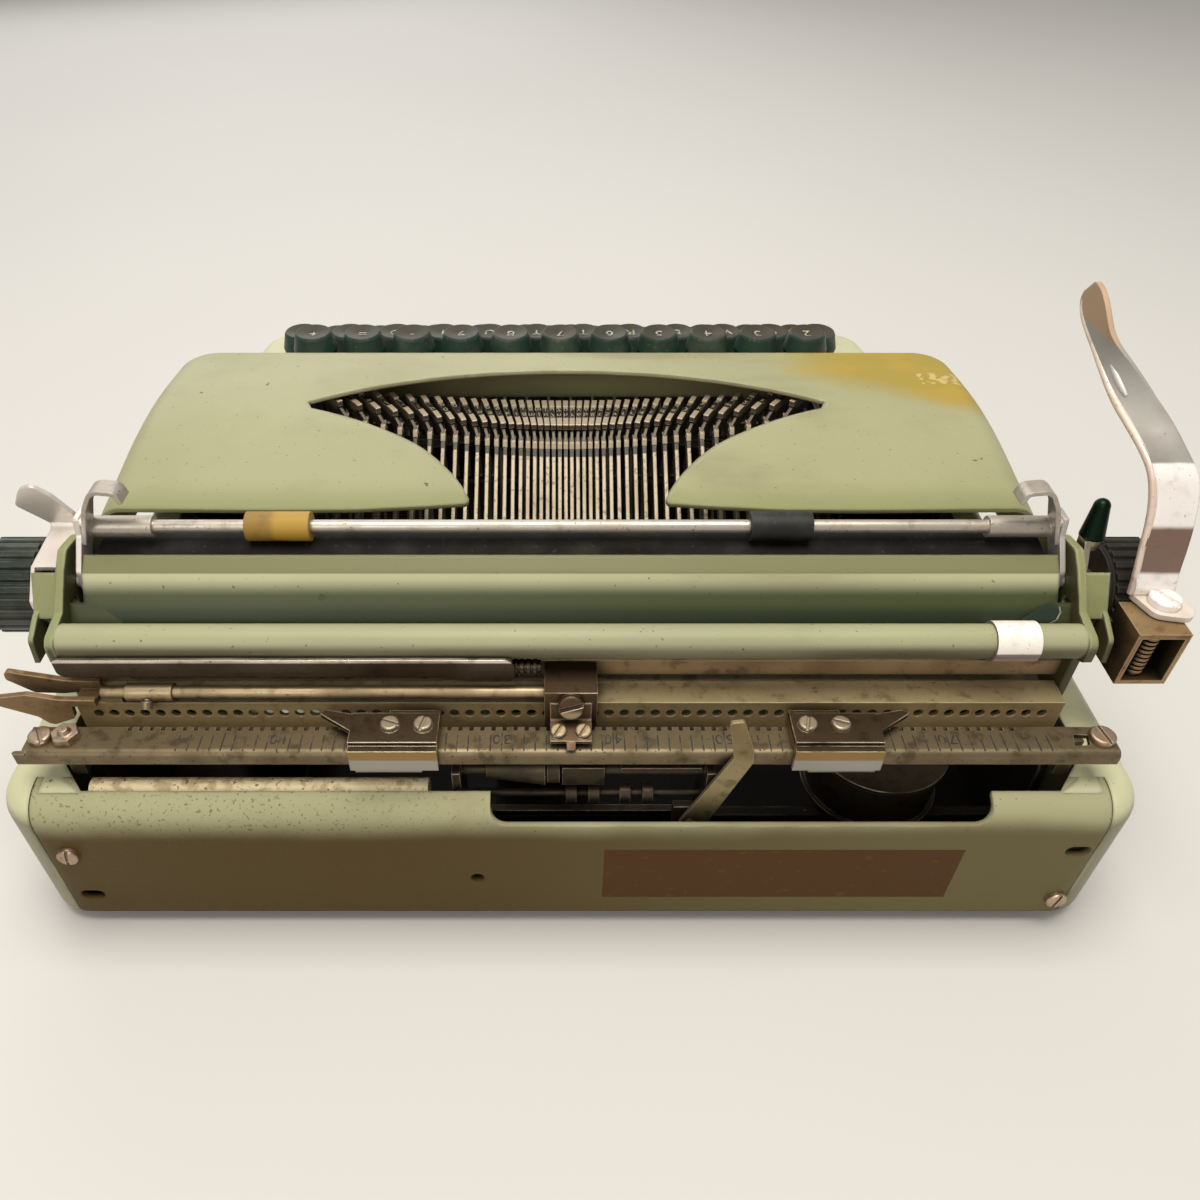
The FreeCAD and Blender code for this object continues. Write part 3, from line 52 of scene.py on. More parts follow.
class Finish:
    """One material: a base colour that further calls age, with matching roughness and bump."""

    def __init__(self, name, colour, roughness, metallic=0.0):
        self.material = bpy.data.materials.new(name)
        self.material.use_nodes = True
        self.tree = self.material.node_tree
        self.shader = self.tree.nodes["Principled BSDF"]
        self.shader.inputs["Metallic"].default_value = metallic
        coords = self.tree.nodes.new("ShaderNodeTexCoord")
        self.place = coords.outputs["Object"]
        self.colour = self.value(colour)
        self.roughness = roughness
        self.height = None
        self.normal = None

    def value(self, colour):
        node = self.tree.nodes.new("ShaderNodeRGB")
        node.outputs[0].default_value = (*colour, 1)
        return node.outputs[0]

    def put(self, socket, given):
        if isinstance(given, bpy.types.NodeSocket):
            self.tree.links.new(given, socket)
        else:
            socket.default_value = given

    def math(self, kind, a, b=0.0):
        node = self.tree.nodes.new("ShaderNodeMath")
        node.operation = kind
        for socket, given in zip(node.inputs, (a, b)):
            self.put(socket, given)
        return node.outputs[0]

    def both(self, a, b):
        """High only where both masks are high."""
        return self.math("MULTIPLY", a, b)

    def stretched(self, factors):
        node = self.tree.nodes.new("ShaderNodeVectorMath")
        node.operation = "MULTIPLY"
        self.tree.links.new(self.place, node.inputs[0])
        node.inputs[1].default_value = factors
        return node.outputs[0]

    def noise(self, scale, detail=4.0, stretch=None):
        node = self.tree.nodes.new("ShaderNodeTexNoise")
        place = self.stretched(stretch) if stretch else self.place
        self.tree.links.new(place, node.inputs["Vector"])
        node.inputs["Scale"].default_value = scale
        node.inputs["Detail"].default_value = detail
        return node.outputs["Fac"]

    def band(self, source, low, high):
        """Smoothly from 0 at low to 1 at high; low may be the larger of the two."""
        node = self.tree.nodes.new("ShaderNodeMapRange")
        node.interpolation_type = "SMOOTHSTEP"
        self.tree.links.new(source, node.inputs["Value"])
        node.inputs["From Min"].default_value, node.inputs["From Max"].default_value = low, high
        return node.outputs["Result"]

    def axis(self, letter):
        node = self.tree.nodes.new("ShaderNodeSeparateXYZ")
        self.tree.links.new(self.place, node.inputs[0])
        return node.outputs[letter]

    def along(self, letter, low, high):
        """band() of a place on one axis."""
        return self.band(self.axis(letter), low, high)

    def facing(self):
        """1 where the surface looks up, 0 where it stands upright, -1 underneath."""
        geometry = self.tree.nodes.new("ShaderNodeNewGeometry")
        split = self.tree.nodes.new("ShaderNodeSeparateXYZ")
        self.tree.links.new(geometry.outputs["Normal"], split.inputs[0])
        return split.outputs["Z"]

    def recess(self, reach):
        """High in corners and gaps narrower than reach, where shade falls and dirt gathers."""
        node = self.tree.nodes.new("ShaderNodeAmbientOcclusion")
        node.samples = 4
        node.inputs["Distance"].default_value = reach
        return self.band(node.outputs["AO"], 0.75, 0.25)

    def window(self, letter, low, high, blur=0.0002):
        """1 between two places on an axis, with ragged ends."""
        ragged = self.math("MULTIPLY", self.noise(700, 3), 2 * blur)
        place = self.math("ADD", self.axis(letter), ragged)
        return self.both(self.band(place, low, low + blur), self.band(place, high + blur, high))

    def attribute(self, name):
        node = self.tree.nodes.new("ShaderNodeAttribute")
        node.attribute_name = name
        return node.outputs["Fac"]

    def tint(self, mask, colour, amount=1.0):
        """Mixes a colour in where the mask is high."""
        node = self.tree.nodes.new("ShaderNodeMix")
        node.data_type = "RGBA"
        self.put(node.inputs[0], self.math("MULTIPLY", mask, amount))
        self.tree.links.new(self.colour, node.inputs[6])
        self.put(node.inputs[7], self.value(colour))
        self.colour = node.outputs[2]

    def rougher(self, mask, amount):
        self.roughness = self.math("ADD", self.roughness, self.math("MULTIPLY", mask, amount))

    def raise_by(self, mask, depth):
        """Adds a mask to the surface height, depth in metres."""
        step = self.math("MULTIPLY", mask, depth)
        self.height = step if self.height is None else self.math("ADD", self.height, step)

    def soften(self, radius):
        """Rounds the edges in the shading, and returns a mask that is high along them."""
        bevel = self.tree.nodes.new("ShaderNodeBevel")
        bevel.samples = 4
        bevel.inputs["Radius"].default_value = radius
        self.normal = bevel.outputs[0]
        geometry = self.tree.nodes.new("ShaderNodeNewGeometry")
        dot = self.tree.nodes.new("ShaderNodeVectorMath")
        dot.operation = "DOT_PRODUCT"
        self.tree.links.new(bevel.outputs[0], dot.inputs[0])
        self.tree.links.new(geometry.outputs["Normal"], dot.inputs[1])
        return self.band(dot.outputs["Value"], 0.995, 0.90)

    def done(self):
        """Wires up the shader and gives the finished material."""
        self.put(self.shader.inputs["Base Color"], self.colour)
        self.put(self.shader.inputs["Roughness"], self.roughness)
        if self.height is not None:
            bump = self.tree.nodes.new("ShaderNodeBump")
            bump.inputs["Distance"].default_value = 1.0
            bump.inputs["Strength"].default_value = 1.0
            self.tree.links.new(self.height, bump.inputs["Height"])
            if self.normal is not None:
                self.tree.links.new(self.normal, bump.inputs["Normal"])
            self.normal = bump.outputs[0]
        if self.normal is not None:
            self.tree.links.new(self.normal, self.shader.inputs["Normal"])
        return self.material


def dress(material, *names):
    """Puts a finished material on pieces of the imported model, in place of the plain one."""
    for name in names:
        NODES[name].data.materials.clear()
        NODES[name].data.materials.append(material)


def paint(name, colour, grime=(0.10, 0.06, 0.02), dirt=0.35, edge=0.8, upright=0.5, low=0.45,
          roll=0.0011, gloss=0.35):
    """Old enamel: blotches, handling grime, dark specks, orange peel and rubbed edges.

    upright: how strongly painted shade darkens surfaces that don't look up, to low times the
    colour; a low above 1 paints them lighter instead.
    roll: radius of the rolled edges. gloss: level of the reflection.
    """
    f = Finish(name, colour, 0.40)
    f.shader.inputs["Specular IOR Level"].default_value = gloss
    edges = f.soften(roll)
    # Painted shade: surfaces that don't look up are darkened to low times the colour, or lightened
    # where low is above 1.
    steep_painted_shade = f.band(f.facing(), 0.62, 0.05)
    f.tint(steep_painted_shade, [colour[0] * low, colour[1] * low * 0.93, colour[2] * low * 0.75], upright)
    blotch = f.band(f.noise(14, 6), 0.35, 0.75)
    f.tint(blotch, [c * 0.80 for c in colour], 0.55)
    f.tint(f.band(f.noise(45, 5), 0.50, 0.80), grime, dirt * 0.5)
    streak = f.band(f.noise(30, 6, (0.3, 1.0, 1.0)), 0.56, 0.74)
    f.tint(streak, grime, dirt)
    specks = f.band(f.noise(900, 2), 0.70, 0.76)
    f.tint(specks, (0.045, 0.032, 0.015), 0.75)
    chips = f.band(f.noise(190, 3), 0.735, 0.76)
    f.tint(chips, (0.06, 0.04, 0.02), 0.8)
    rubbed = f.both(edges, f.band(f.noise(70, 4), 0.40, 0.62))
    f.tint(rubbed, (0.62, 0.58, 0.42), edge * 0.6)
    f.rougher(streak, 0.12)
    f.rougher(blotch, 0.08)
    f.raise_by(f.noise(1100, 2), 0.000010)
    f.raise_by(chips, -0.00005)
    return f


# Painted shade darkens the casing's upright sides to 0.3 of its colour.
dress(paint("paint_casing", (0.56, 0.55, 0.34), upright=0.9, low=0.30, roll=0.002).done(),
      "lower_casing")

# Base plate and inner frames ----------------------------------------------------------------
# Flat steel plate, bent side frames and the padded rest under the typebars, dipped in dull
# black enamel and screwed together before they go into the casing.
black = paint("paint_black", (0.010, 0.008, 0.006), (0.06, 0.04, 0.02), dirt=0.3, edge=0.2,
              upright=0.0, gloss=0.1).done()
dress(black, "base_plate", "chassis_frame", "type_rest")


# Rubber feet --------------------------------------------------------------------------------
# Four moulded rubber cones, pushed into holes in the casing's floor; the machine stands on them.
def plastic(name, colour, roughness, dust=0.3, pale=1.0, gloss=0.35):
    """Moulded plastic or rubber with grey dust and finger wear; pale: how light the wear is."""
    f = Finish(name, colour, roughness)
    f.shader.inputs["Specular IOR Level"].default_value = gloss
    edges = f.soften(0.0005)
    f.tint(f.band(f.noise(80, 5), 0.45, 0.72), [0.30 * pale, 0.27 * pale, 0.20 * pale], dust)
    f.tint(f.band(f.noise(700, 3), 0.62, 0.72), [0.36 * pale, 0.33 * pale, 0.25 * pale], dust)
    f.tint(f.both(edges, f.band(f.noise(160, 3), 0.3, 0.6)), (0.26, 0.26, 0.20), 0.4 * pale)
    f.rougher(f.band(f.noise(60, 4), 0.4, 0.7), 0.15)
    f.raise_by(f.noise(1500, 2), 0.000008)
    return f


rubber = plastic("platen_rubber", (0.006, 0.0045, 0.003), 0.62, 0.22, 0.22, gloss=0.12).done()
dress(rubber, "rubber_feet")


# Fulcrum shaft and comb of the key levers ---------------------------------------------------
# A ground steel shaft on which all key levers hang, and the slotted steel strip that keeps them
# upright; both are held between the side frames.
def metal(name, colour, dull, roughness, tarnish=0.5, edge_colour=(0.75, 0.68, 0.55), edge=0.7,
          metallic=1.0):
    """Bare or plated metal: tarnish clouds, fine brushing, pits, dirt and bright worn edges."""
    f = Finish(name, colour, roughness, metallic)
    edges = f.soften(0.0004)
    cloud = f.band(f.noise(60, 6), 0.38, 0.66)
    f.tint(cloud, dull, tarnish)
    f.tint(f.band(f.noise(260, 5), 0.52, 0.70), [c * 0.45 for c in dull], tarnish)
    pits = f.band(f.noise(1300, 2), 0.66, 0.74)
    f.tint(pits, (0.02, 0.014, 0.008), 0.6)
    f.tint(f.both(edges, f.band(f.noise(120, 3), 0.30, 0.55)), edge_colour, edge)
    f.rougher(cloud, 0.18)
    f.rougher(pits, 0.25)
    f.raise_by(f.noise(900, 3, (0.05, 1.0, 1.0)), 0.000012)
    return f


def old_metal(name, colour, dull, roughness, metallic=0.75, edge_colour=(0.62, 0.50, 0.34),
              edge=0.7):
    """Metal that has sat for years: as metal, with brown dirt and painted shade darkening every
    corner.
    """
    f = metal(name, colour, dull, roughness, 0.55, edge_colour, edge, metallic)
    # Dirt and painted shade: darker where the occlusion mask finds a corner or gap.
    corner_dirt_and_shade = f.recess(0.006)
    f.tint(corner_dirt_and_shade, (0.016, 0.010, 0.004), 0.85)
    f.rougher(corner_dirt_and_shade, 0.3)
    return f


steel = old_metal("worn_steel", (0.28, 0.215, 0.125), (0.12, 0.082, 0.044), 0.42).done()
dress(steel, "key_fulcrum_shaft", "key_comb")

# Keys ---------------------------------------------------------------------------------------
# Dark green moulded tops with a dusty dish, pressed on steel levers; the space bar and the shift
# keys are moulded alike. Each character is a pale paste wiped into the top, a little below its rim.
key_plastic = plastic("key_plastic", (0.020, 0.043, 0.030), 0.34, 0.14, gloss=0.22)
key_plastic.tint(key_plastic.band(key_plastic.facing(), 0.86, 0.93), (0.044, 0.035, 0.020), 0.92)
dress(key_plastic.done(), "number_row_keys", "upper_row_keys", "middle_row_keys",
      "lower_row_keys", "striking_key", "back_space_key", "shift_keys", "space_bar")

MM = 0.001
MILLIMETRES = Matrix.Scale(MM, 4)


class Form:
    """Collects faces of one piece; each face carries a tone from 0 to 1 for its material."""

    def __init__(self):
        self.points, self.faces, self.tones = [], [], []

    def add(self, points, faces, tone=0.0, turn=None):
        start = len(self.points)
        self.points.extend(turn @ Vector(p) if turn else Vector(p) for p in points)
        for face in faces:
            self.faces.append([start + n for n in face])
            self.tones.append(tone)

    def plate(self, outline, low, high, tone=0.0, turn=None, lift=lambda a, b, t: (t, a, b)):
        """A flat outline (a, b) given a thickness along t, with its faces outwards."""
        n = len(outline)
        points = [lift(a, b, low) for a, b in outline] + [lift(a, b, high) for a, b in outline]
        faces = [list(range(n))[::-1], list(range(n, 2 * n))]
        faces += [(k, (k + 1) % n, n + (k + 1) % n, n + k) for k in range(n)]
        # An outline may run either way round; the sign of the volume tells which.
        solid = [turn @ Vector(p) if turn else Vector(p) for p in points]
        arms = [p - solid[0] for p in solid]
        volume = sum(arms[f[0]].dot(arms[f[k]].cross(arms[f[k + 1]]))
                     for f in faces for k in range(1, len(f) - 1))
        if volume < 0:
            faces = [list(f)[::-1] for f in faces]
        self.add(points, faces, tone, turn)

    def piece(self, name, body, finish, slot, replaced=(), bevel=0.0):
        mesh = bpy.data.meshes.new(name)
        mesh.from_pydata(self.points, [], self.faces)
        tones = mesh.attributes.new("tone", "FLOAT", "FACE")
        tones.data.foreach_set("value", self.tones)
        mesh.materials.append(finish)
        made = bpy.data.objects.new(name, mesh)
        scene.collection.objects.link(made)
        if bevel:
            edge = made.modifiers.new("edges", "BEVEL")
            edge.width, edge.segments, edge.limit_method = bevel, 2, "ANGLE"
        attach(made, body)
        if replaced:
            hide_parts(*replaced)
        return made


glyphs = {}
CAPITAL = 0.7  # height of a capital in the plain type, at size 1


def glyph(text, height):
    """Outline of plain characters as flat faces, centred, about as tall as height."""
    if text not in glyphs:
        curve = bpy.data.curves.new("character", "FONT")
        curve.body = text
        curve.resolution_u = 3
        shown = bpy.data.objects.new("character", curve)
        mesh = bpy.data.meshes.new_from_object(shown)
        points = [v.co.copy() for v in mesh.vertices]
        faces = [tuple(f.vertices) for f in mesh.polygons]
        middle = [(max(p[k] for p in points) + min(p[k] for p in points)) / 2 for k in (0, 1)]
        glyphs[text] = [(p.x - middle[0], p.y - middle[1]) for p in points], faces
        bpy.data.objects.remove(shown)
    flat, faces = glyphs[text]
    return [(a * height / CAPITAL, b * height / CAPITAL) for a, b in flat], faces


legend = Finish("key_legend", (0.42, 0.40, 0.32), 0.5)
legend.tint(legend.band(legend.noise(600, 3), 0.40, 0.62), (0.16, 0.14, 0.10), 0.8)
legend_made = legend.done()
QUARTER_PITCH, OFF_CENTRE = 4.65, 1.75
LEGEND_HEIGHT = 4.4
DISH_RADIUS, DISH_DEPTH, RIM_DROP = 5.4, 1.1, 1.2
STRIKING = ("middle_row", -1)
# Body, Y and rim height in mm, place of the first key in quarter pitches, characters.
KEY_ROWS = (
    ("number_row", -58.0, 68.5, -20, "23456789-=+"),
    ("upper_row", -77.0, 60.0, -18, "QWERTYUIOP*"),
    ("middle_row", -96.0, 51.0, -21, "ASDFGHJKL;:"),
    ("lower_row", -114.5, 42.0, -19, "ZXCVBNM,./"),
)
for row, y, top, first, letters in KEY_ROWS:
    form, single = Form(), Form()
    for n, letter in enumerate(letters):
        place = first + 4 * n
        target = single if (row, place) == STRIKING else form
        flat, faces = glyph(letter, LEGEND_HEIGHT)
        shift = MILLIMETRES @ Matrix.Translation((place * QUARTER_PITCH + OFF_CENTRE, y, top))
        dished = [(a, b, DISH_DEPTH * math.hypot(a, b) / DISH_RADIUS - RIM_DROP) for a, b in flat]
        target.add(dished, faces, 0, shift)
    form.piece(row + "_letters", row, legend_made, "key_plastic")
    if single.points:
        single.piece("striking_key_letter", "striking_key", legend_made, "key_plastic")

# Segment, its wire and the type guide -------------------------------------------------------
# A slotted arc of cast iron screwed to the frames, the steel wire on which the typebars hang in
# its slots, and the forked steel guide at the print point.
iron = old_metal("segment_iron", (0.10, 0.085, 0.065), (0.04, 0.03, 0.02), 0.55, 0.7)
dress(iron.done(), "segment")
dress(steel, "segment_wire", "type_guide")

# Typebars -----------------------------------------------------------------------------------
# Forty-three flat steel bars hung on the segment's wire, each with a soldered slug of two cut
# characters; mirror writing, so that it reads right on paper. The middle one swings on its own.
SHAPES = "qaz2wsx3edc4rfv5tgb6yhn7ujm8ik,9ol.0p;-/=+!%?"
EACH_SIDE = 21
PITCH, SPREAD = 2.3, 0.0036  # between slugs in mm, and how it grows towards the ends
SLUG_Y, PRINT_REACH, STEM_REACH = -13.0, 95.5, 11.0
SLUG_Z, SLUG_RISE, HALF_FAN = 57.0, 8.0, 82.0
BAR_BEVEL = 0.00012
SEGMENT_RADIUS, SEGMENT_FOOT = 156.0, 22.0
# Tones of the faces: how the finish knows the bright ends, the neck in painted shade, and the soot
# and painted shadow apart.
PLAIN, NECK_IN_SHADE, BRIGHT, SOOT_AND_SHADE = 0.0, 0.35, 0.6, 0.9

bar_finish = Finish("typebar_steel", (0.30, 0.245, 0.165), 0.42, 0.35)
bar_edges = bar_finish.soften(0.0004)
bar_finish.tint(bar_finish.band(bar_finish.noise(90, 5), 0.42, 0.66), (0.20, 0.145, 0.08), 0.6)
bar_finish.tint(bar_finish.band(bar_finish.noise(700, 3), 0.55, 0.68), (0.07, 0.05, 0.03), 0.7)
tone = bar_finish.attribute("tone")
# Painted shade on the neck under the slug.
bar_finish.tint(bar_finish.band(tone, 0.15, 0.25), (0.055, 0.040, 0.026), 0.9)
bar_finish.tint(bar_finish.band(tone, 0.45, 0.55), (0.40, 0.32, 0.215), 0.95)
# Painted shade on the sides of the bright parts that don't look up.
steep_painted_shade = bar_finish.both(bar_finish.band(tone, 0.45, 0.55),
                        bar_finish.band(bar_finish.facing(), 0.5, 0.2))
bar_finish.tint(steep_painted_shade, (0.13, 0.098, 0.068), 0.8)
# Soot on the characters' ground, and painted shade on the undercut end and below the bent end.
bar_finish.tint(bar_finish.band(tone, 0.75, 0.85), (0.010, 0.008, 0.006), 0.97)
# Painted shade where the bars crowd together.
bar_finish.tint(bar_finish.recess(0.004), (0.012, 0.008, 0.004), 0.9)
bar_finish.tint(bar_finish.both(bar_edges, bar_finish.band(bar_finish.noise(150, 3), 0.3, 0.55)),
                (0.58, 0.49, 0.36), 0.45)
bar_made = bar_finish.done()


def typebar(form, i):
    """Shaft, neck and slug of one typebar at rest, i places from the middle."""
    x = PITCH * i + SPREAD * i ** 3
    aim = math.atan2(x, PRINT_REACH)
    slug_z = SLUG_Z + SLUG_RISE * (x / HALF_FAN) ** 2
    stem_x = x - STEM_REACH * math.sin(aim)
    stem_y = SLUG_Y + STEM_REACH * math.cos(aim)
    hub = SEGMENT_FOOT + SEGMENT_RADIUS - math.sqrt(SEGMENT_RADIUS ** 2 - stem_x ** 2)
    low = slug_z - 7.0
    shaft = [(44, hub - 2), (42.5, hub + 3), (stem_y + 2.5, low + 3.6), (stem_y - 2, low + 5),
             (stem_y - 2, low), (stem_y + 2, low - 1.2), (38, hub + 0.5), (40, hub - 3)]
    form.plate(shaft, stem_x - 0.6, stem_x + 0.6, PLAIN, MILLIMETRES)
    # Bright bent-over end of the shaft, and a painted shadow below it.
    bend = [(stem_y - 1.9, low + 5.5), (stem_y + 1.5, low + 5.3), (stem_y + 2.9, low + 3.6),
            (stem_y + 1.0, low + 3.4), (stem_y - 1.9, low + 4.2)]
    form.plate(bend, stem_x - 0.78, stem_x + 0.78, BRIGHT, MILLIMETRES)
    fall = (low + 0.6 - hub) / (40 - stem_y)
    shadow_below_bend = [(stem_y + 3.0, low + 3.5), (stem_y + 4.9, low + 3.6 - 2.4 * fall),
             (stem_y + 4.9, low + 2.5 - 2.4 * fall), (stem_y + 3.0, low + 2.5)]
    form.plate(shadow_below_bend, stem_x - 0.64, stem_x + 0.64, SOOT_AND_SHADE, MILLIMETRES)
    # The rest is laid out about the slug's own middle, turned towards the print point.
    turn = (MILLIMETRES @ Matrix.Translation((x, SLUG_Y, slug_z + 3.0))
            @ Matrix.Rotation(aim, 4, "Z"))
    neck = [(12.6, -8.2), (12.6, -5.6), (11.8, -4.6), (8.0, -2.5), (-8.6, -2.6), (-8.8, -5.0),
            (6, -7)]
    form.plate(neck, -0.5, 0.5, NECK_IN_SHADE, turn)
    slug = [(8.4, -1.9), (8.5, -0.2), (8.2, 0), (3.7, 0), (3.4, -0.6), (-3.8, -0.6), (-4.1, 0),
            (-8.2, 0), (-8.5, -0.4), (-8.5, -3.3), (8.0, -3.3)]
    form.plate(slug, -0.9, 0.9, BRIGHT, turn)
    # Sooty ground of the cut characters, and the undercut end of the slug, dark with painted shade.
    ground = [(-3.7, -0.62), (3.3, -0.62), (3.3, -0.55), (-3.7, -0.55)]
    form.plate(ground, -0.88, 0.88, SOOT_AND_SHADE, turn)
    undercut = [(8.46, -1.9), (8.1, -3.35), (7.0, -3.35), (7.0, -1.9)]
    form.plate(undercut, -0.92, 0.92, SOOT_AND_SHADE, turn)
    for step, place in enumerate((1.55, -2.05)):
        flat, faces = glyph(SHAPES[(i + EACH_SIDE + step) % len(SHAPES)], 2.3)
        form.add([(-a, b + place, -0.12) for a, b in flat], [f[::-1] for f in faces], BRIGHT, turn)


basket = Form()
for place in range(-EACH_SIDE, EACH_SIDE + 1):
    if place:
        typebar(basket, place)
basket.piece("typebar_fan", "machine", bar_made, "type_steel", ("typebars",), BAR_BEVEL)
middle_bar = Form()
typebar(middle_bar, 0)
middle_bar.piece("typebar_middle", "strike_typebar", bar_made, "type_steel", ("strike_typebar",),
                 BAR_BEVEL)

# Escapement ---------------------------------------------------------------------------------
# A toothed brass wheel geared to the carriage, and the steel rocker that lets it go one tooth at
# each stroke; both turn on pins in the rear frame.
bronze = old_metal("tarnished_bronze", (0.36, 0.235, 0.115), (0.15, 0.085, 0.038), 0.42, 0.7).done()
dress(bronze, "escapement_wheel")
dress(steel, "escapement_rocker")

# Mainspring drum and small parts in the notch -----------------------------------------------
# A flat drum of browned steel that holds the carriage spring, on an upright spindle, and the
# plates, turned cone, shaft and collars next to it, all fixed to the rear frame.
dark_metal = old_metal("dark_metal", (0.060, 0.046, 0.028), (0.024, 0.016, 0.008), 0.42, 0.8,
                       (0.55, 0.44, 0.30), 0.8)
dress(dark_metal.done(), "mainspring_drum", "tabulator_parts")

# Line-lock arm ------------------------------------------------------------------------------
# A bent strip of bare steel, hinged low on the rear frame, that stops the keys at the line's end.
dress(old_metal("arm_steel", (0.31, 0.25, 0.13), (0.17, 0.12, 0.05), 0.42).done(), "line_lock_arm")

# Felt strip ---------------------------------------------------------------------------------
# A round roll of pale felt laid along the right half of the rear edge; dusty and stained.
felt = Finish("felt", (0.95, 0.80, 0.50), 0.95)
felt.tint(felt.band(felt.noise(420, 4), 0.45, 0.65), (0.50, 0.37, 0.18), 0.7)
felt.tint(felt.band(felt.noise(900, 2), 0.64, 0.70), (0.05, 0.03, 0.01), 0.8)
felt.raise_by(felt.noise(1400, 4), 0.0003)
dress(felt.done(), "felt_strip")

# Bell ---------------------------------------------------------------------------------------
# A small plated steel dome, screwed to the frame through its crown. The plating is the one used
# on the bail and the release lever; the parts that stick out at the carriage's ends are cleaner.
bright = metal("bright_plate", (0.50, 0.45, 0.38), (0.30, 0.24, 0.19), 0.28, 0.35,
               (0.80, 0.75, 0.68), 0.4, metallic=0.6)
PAST_END_PLATES = (0.1135, 0.1145)
far_out = bright.band(bright.math("ABSOLUTE", bright.axis("X")), *PAST_END_PLATES)
bright.tint(far_out, (0.86, 0.78, 0.72), 0.7)
bright.tint(bright.both(far_out, bright.band(bright.noise(35, 4), 0.48, 0.62)),
            (0.45, 0.42, 0.39), 0.8)
bright_made = bright.done()
dress(bright_made, "bell")

# Ribbon spools ------------------------------------------------------------------------------
# Two pressed steel spools, black like the frames, loose on their spindles under the cover.
dress(black, "ribbon_spool_left", "ribbon_spool_right")

# Carriage track and rail --------------------------------------------------------------------
# The steel track is screwed to the frames. The brass-coloured rail with its row of punched holes
# runs on it and carries everything that moves along; its upright face is darker and browner with
# painted shade.
dress(steel, "carriage_track")
rail_metal = old_metal("rail_bronze", (0.42, 0.33, 0.175), (0.22, 0.155, 0.07), 0.50, 0.35,
                       (0.80, 0.70, 0.45), 1.0)
# Painted shade on the faces that don't look up.
rail_metal.tint(rail_metal.band(rail_metal.facing(), 0.6, 0.2), (0.20, 0.12, 0.035), 0.6)
dress(rail_metal.done(), "carriage_rail")

# Frame bars ---------------------------------------------------------------------------------
# Flat bars of bare steel that tie the two end plates of the platen frame together.
dress(old_metal("bar_steel", (0.40, 0.28, 0.15), (0.18, 0.11, 0.05), 0.5, 0.4).done(), "frame_bars")

# Centre stop --------------------------------------------------------------------------------
# A folded block of browned steel, screwed to the middle of the rail, with a paler pointer under
# it that runs along the margin scale.
centre_metal = old_metal("centre_metal", (0.105, 0.063, 0.034), (0.045, 0.027, 0.014), 0.38, 0.8,
                         (0.72, 0.58, 0.42), 1.0)
POINTER_Z, POINTER_Y = (0.0618, 0.0622), (0.1335, 0.1340)
pointer = centre_metal.both(centre_metal.along("Z", *POINTER_Z),
                            centre_metal.along("Y", *POINTER_Y))
centre_metal.tint(pointer, (0.36, 0.28, 0.17), 0.9)
dress(centre_metal.done(), "centre_stop")

# Release rod and fingers --------------------------------------------------------------------
# A turned steel rod along the carriage, and two fingers of sheet bronze on one sole at its end.
dress(old_metal("rod_steel", (0.40, 0.31, 0.18), (0.20, 0.14, 0.075), 0.36).done(), "release_rod")
dress(bronze, "release_fingers")

# End plates ---------------------------------------------------------------------------------
# Pressed steel plates at both ends of the platen frame, sprayed green; they hold the platen.
# Their faces that don't look up are darkened hard with painted shade.
dress(paint("paint_plates", (0.24, 0.25, 0.11), dirt=0.4, upright=0.95, low=0.16).done(),
      "end_plate_left", "end_plate_right")

# Rear tube and its clip ---------------------------------------------------------------------
# A drawn steel tube between the end plates, sprayed green, with a sprung band of chromed strip
# round it. The band is white above, with dark and rosy reflections under it.
# The tube's sides and underside are darkened with painted shade.
dress(paint("paint_tube", (0.35, 0.34, 0.20), upright=0.95, low=0.20).done(), "rear_tube")
clip_metal = metal("clip_plate", (0.97, 0.90, 0.82), (0.85, 0.76, 0.68), 0.22, 0.3,
                   (0.95, 0.9, 0.85), 0.4, metallic=0.15)
DARK_UNDER, ROSY_UNDER = (0.10, 0.02), (-0.22, -0.30)  # by how the surface faces
clip_metal.tint(clip_metal.band(clip_metal.facing(), *DARK_UNDER), (0.10, 0.065, 0.060), 0.85)
clip_metal.tint(clip_metal.band(clip_metal.facing(), *ROSY_UNDER), (0.40, 0.27, 0.21), 0.9)
dress(clip_metal.done(), "tube_clip")

# Release link -------------------------------------------------------------------------------
# A plated steel strip hung under the tube with a small spring at its end; dark with painted shade
# but for its lip.
link_metal = metal("link_plate", (0.72, 0.64, 0.55), (0.30, 0.22, 0.15), 0.22)
SHADE_BELOW_LIP_Z = (0.0748, 0.0743)
# Painted shade on the strip below its lip, under the tube.
link_metal.tint(link_metal.along("Z", *SHADE_BELOW_LIP_Z), (0.040, 0.024, 0.013), 0.95)
dress(link_metal.done(), "release_link")

# Paper table --------------------------------------------------------------------------------
# A folded steel sheet behind the platen, sprayed green, with a painted highlight along its upper
# fold, a darker strip above it and painted shade on its face below. Its ends are cut on a slant and
# painted dark there as shade, and a small glossy leaf lies against its face, bright at its edge.
table_paint = paint("paint_table", (0.47, 0.46, 0.275), dirt=0.30, upright=0.0)
SHADED_FACE_Z, SHADE_Z, STRIP_Z = (0.0863, 0.0822), (0.0815, 0.0785), (0.0865, 0.0869)
END_SLANT, END_AT = 1.6, (-0.0180, -0.0172)
face_z = table_paint.axis("Z")
# Painted shade on the face below the upper fold, deepest low down; the fold itself is left pale as
# a painted highlight.
table_paint.tint(table_paint.band(face_z, *SHADED_FACE_Z), (0.036, 0.048, 0.011), 0.96)
table_paint.tint(table_paint.band(face_z, *SHADE_Z), (0.010, 0.018, 0.004), 0.9)
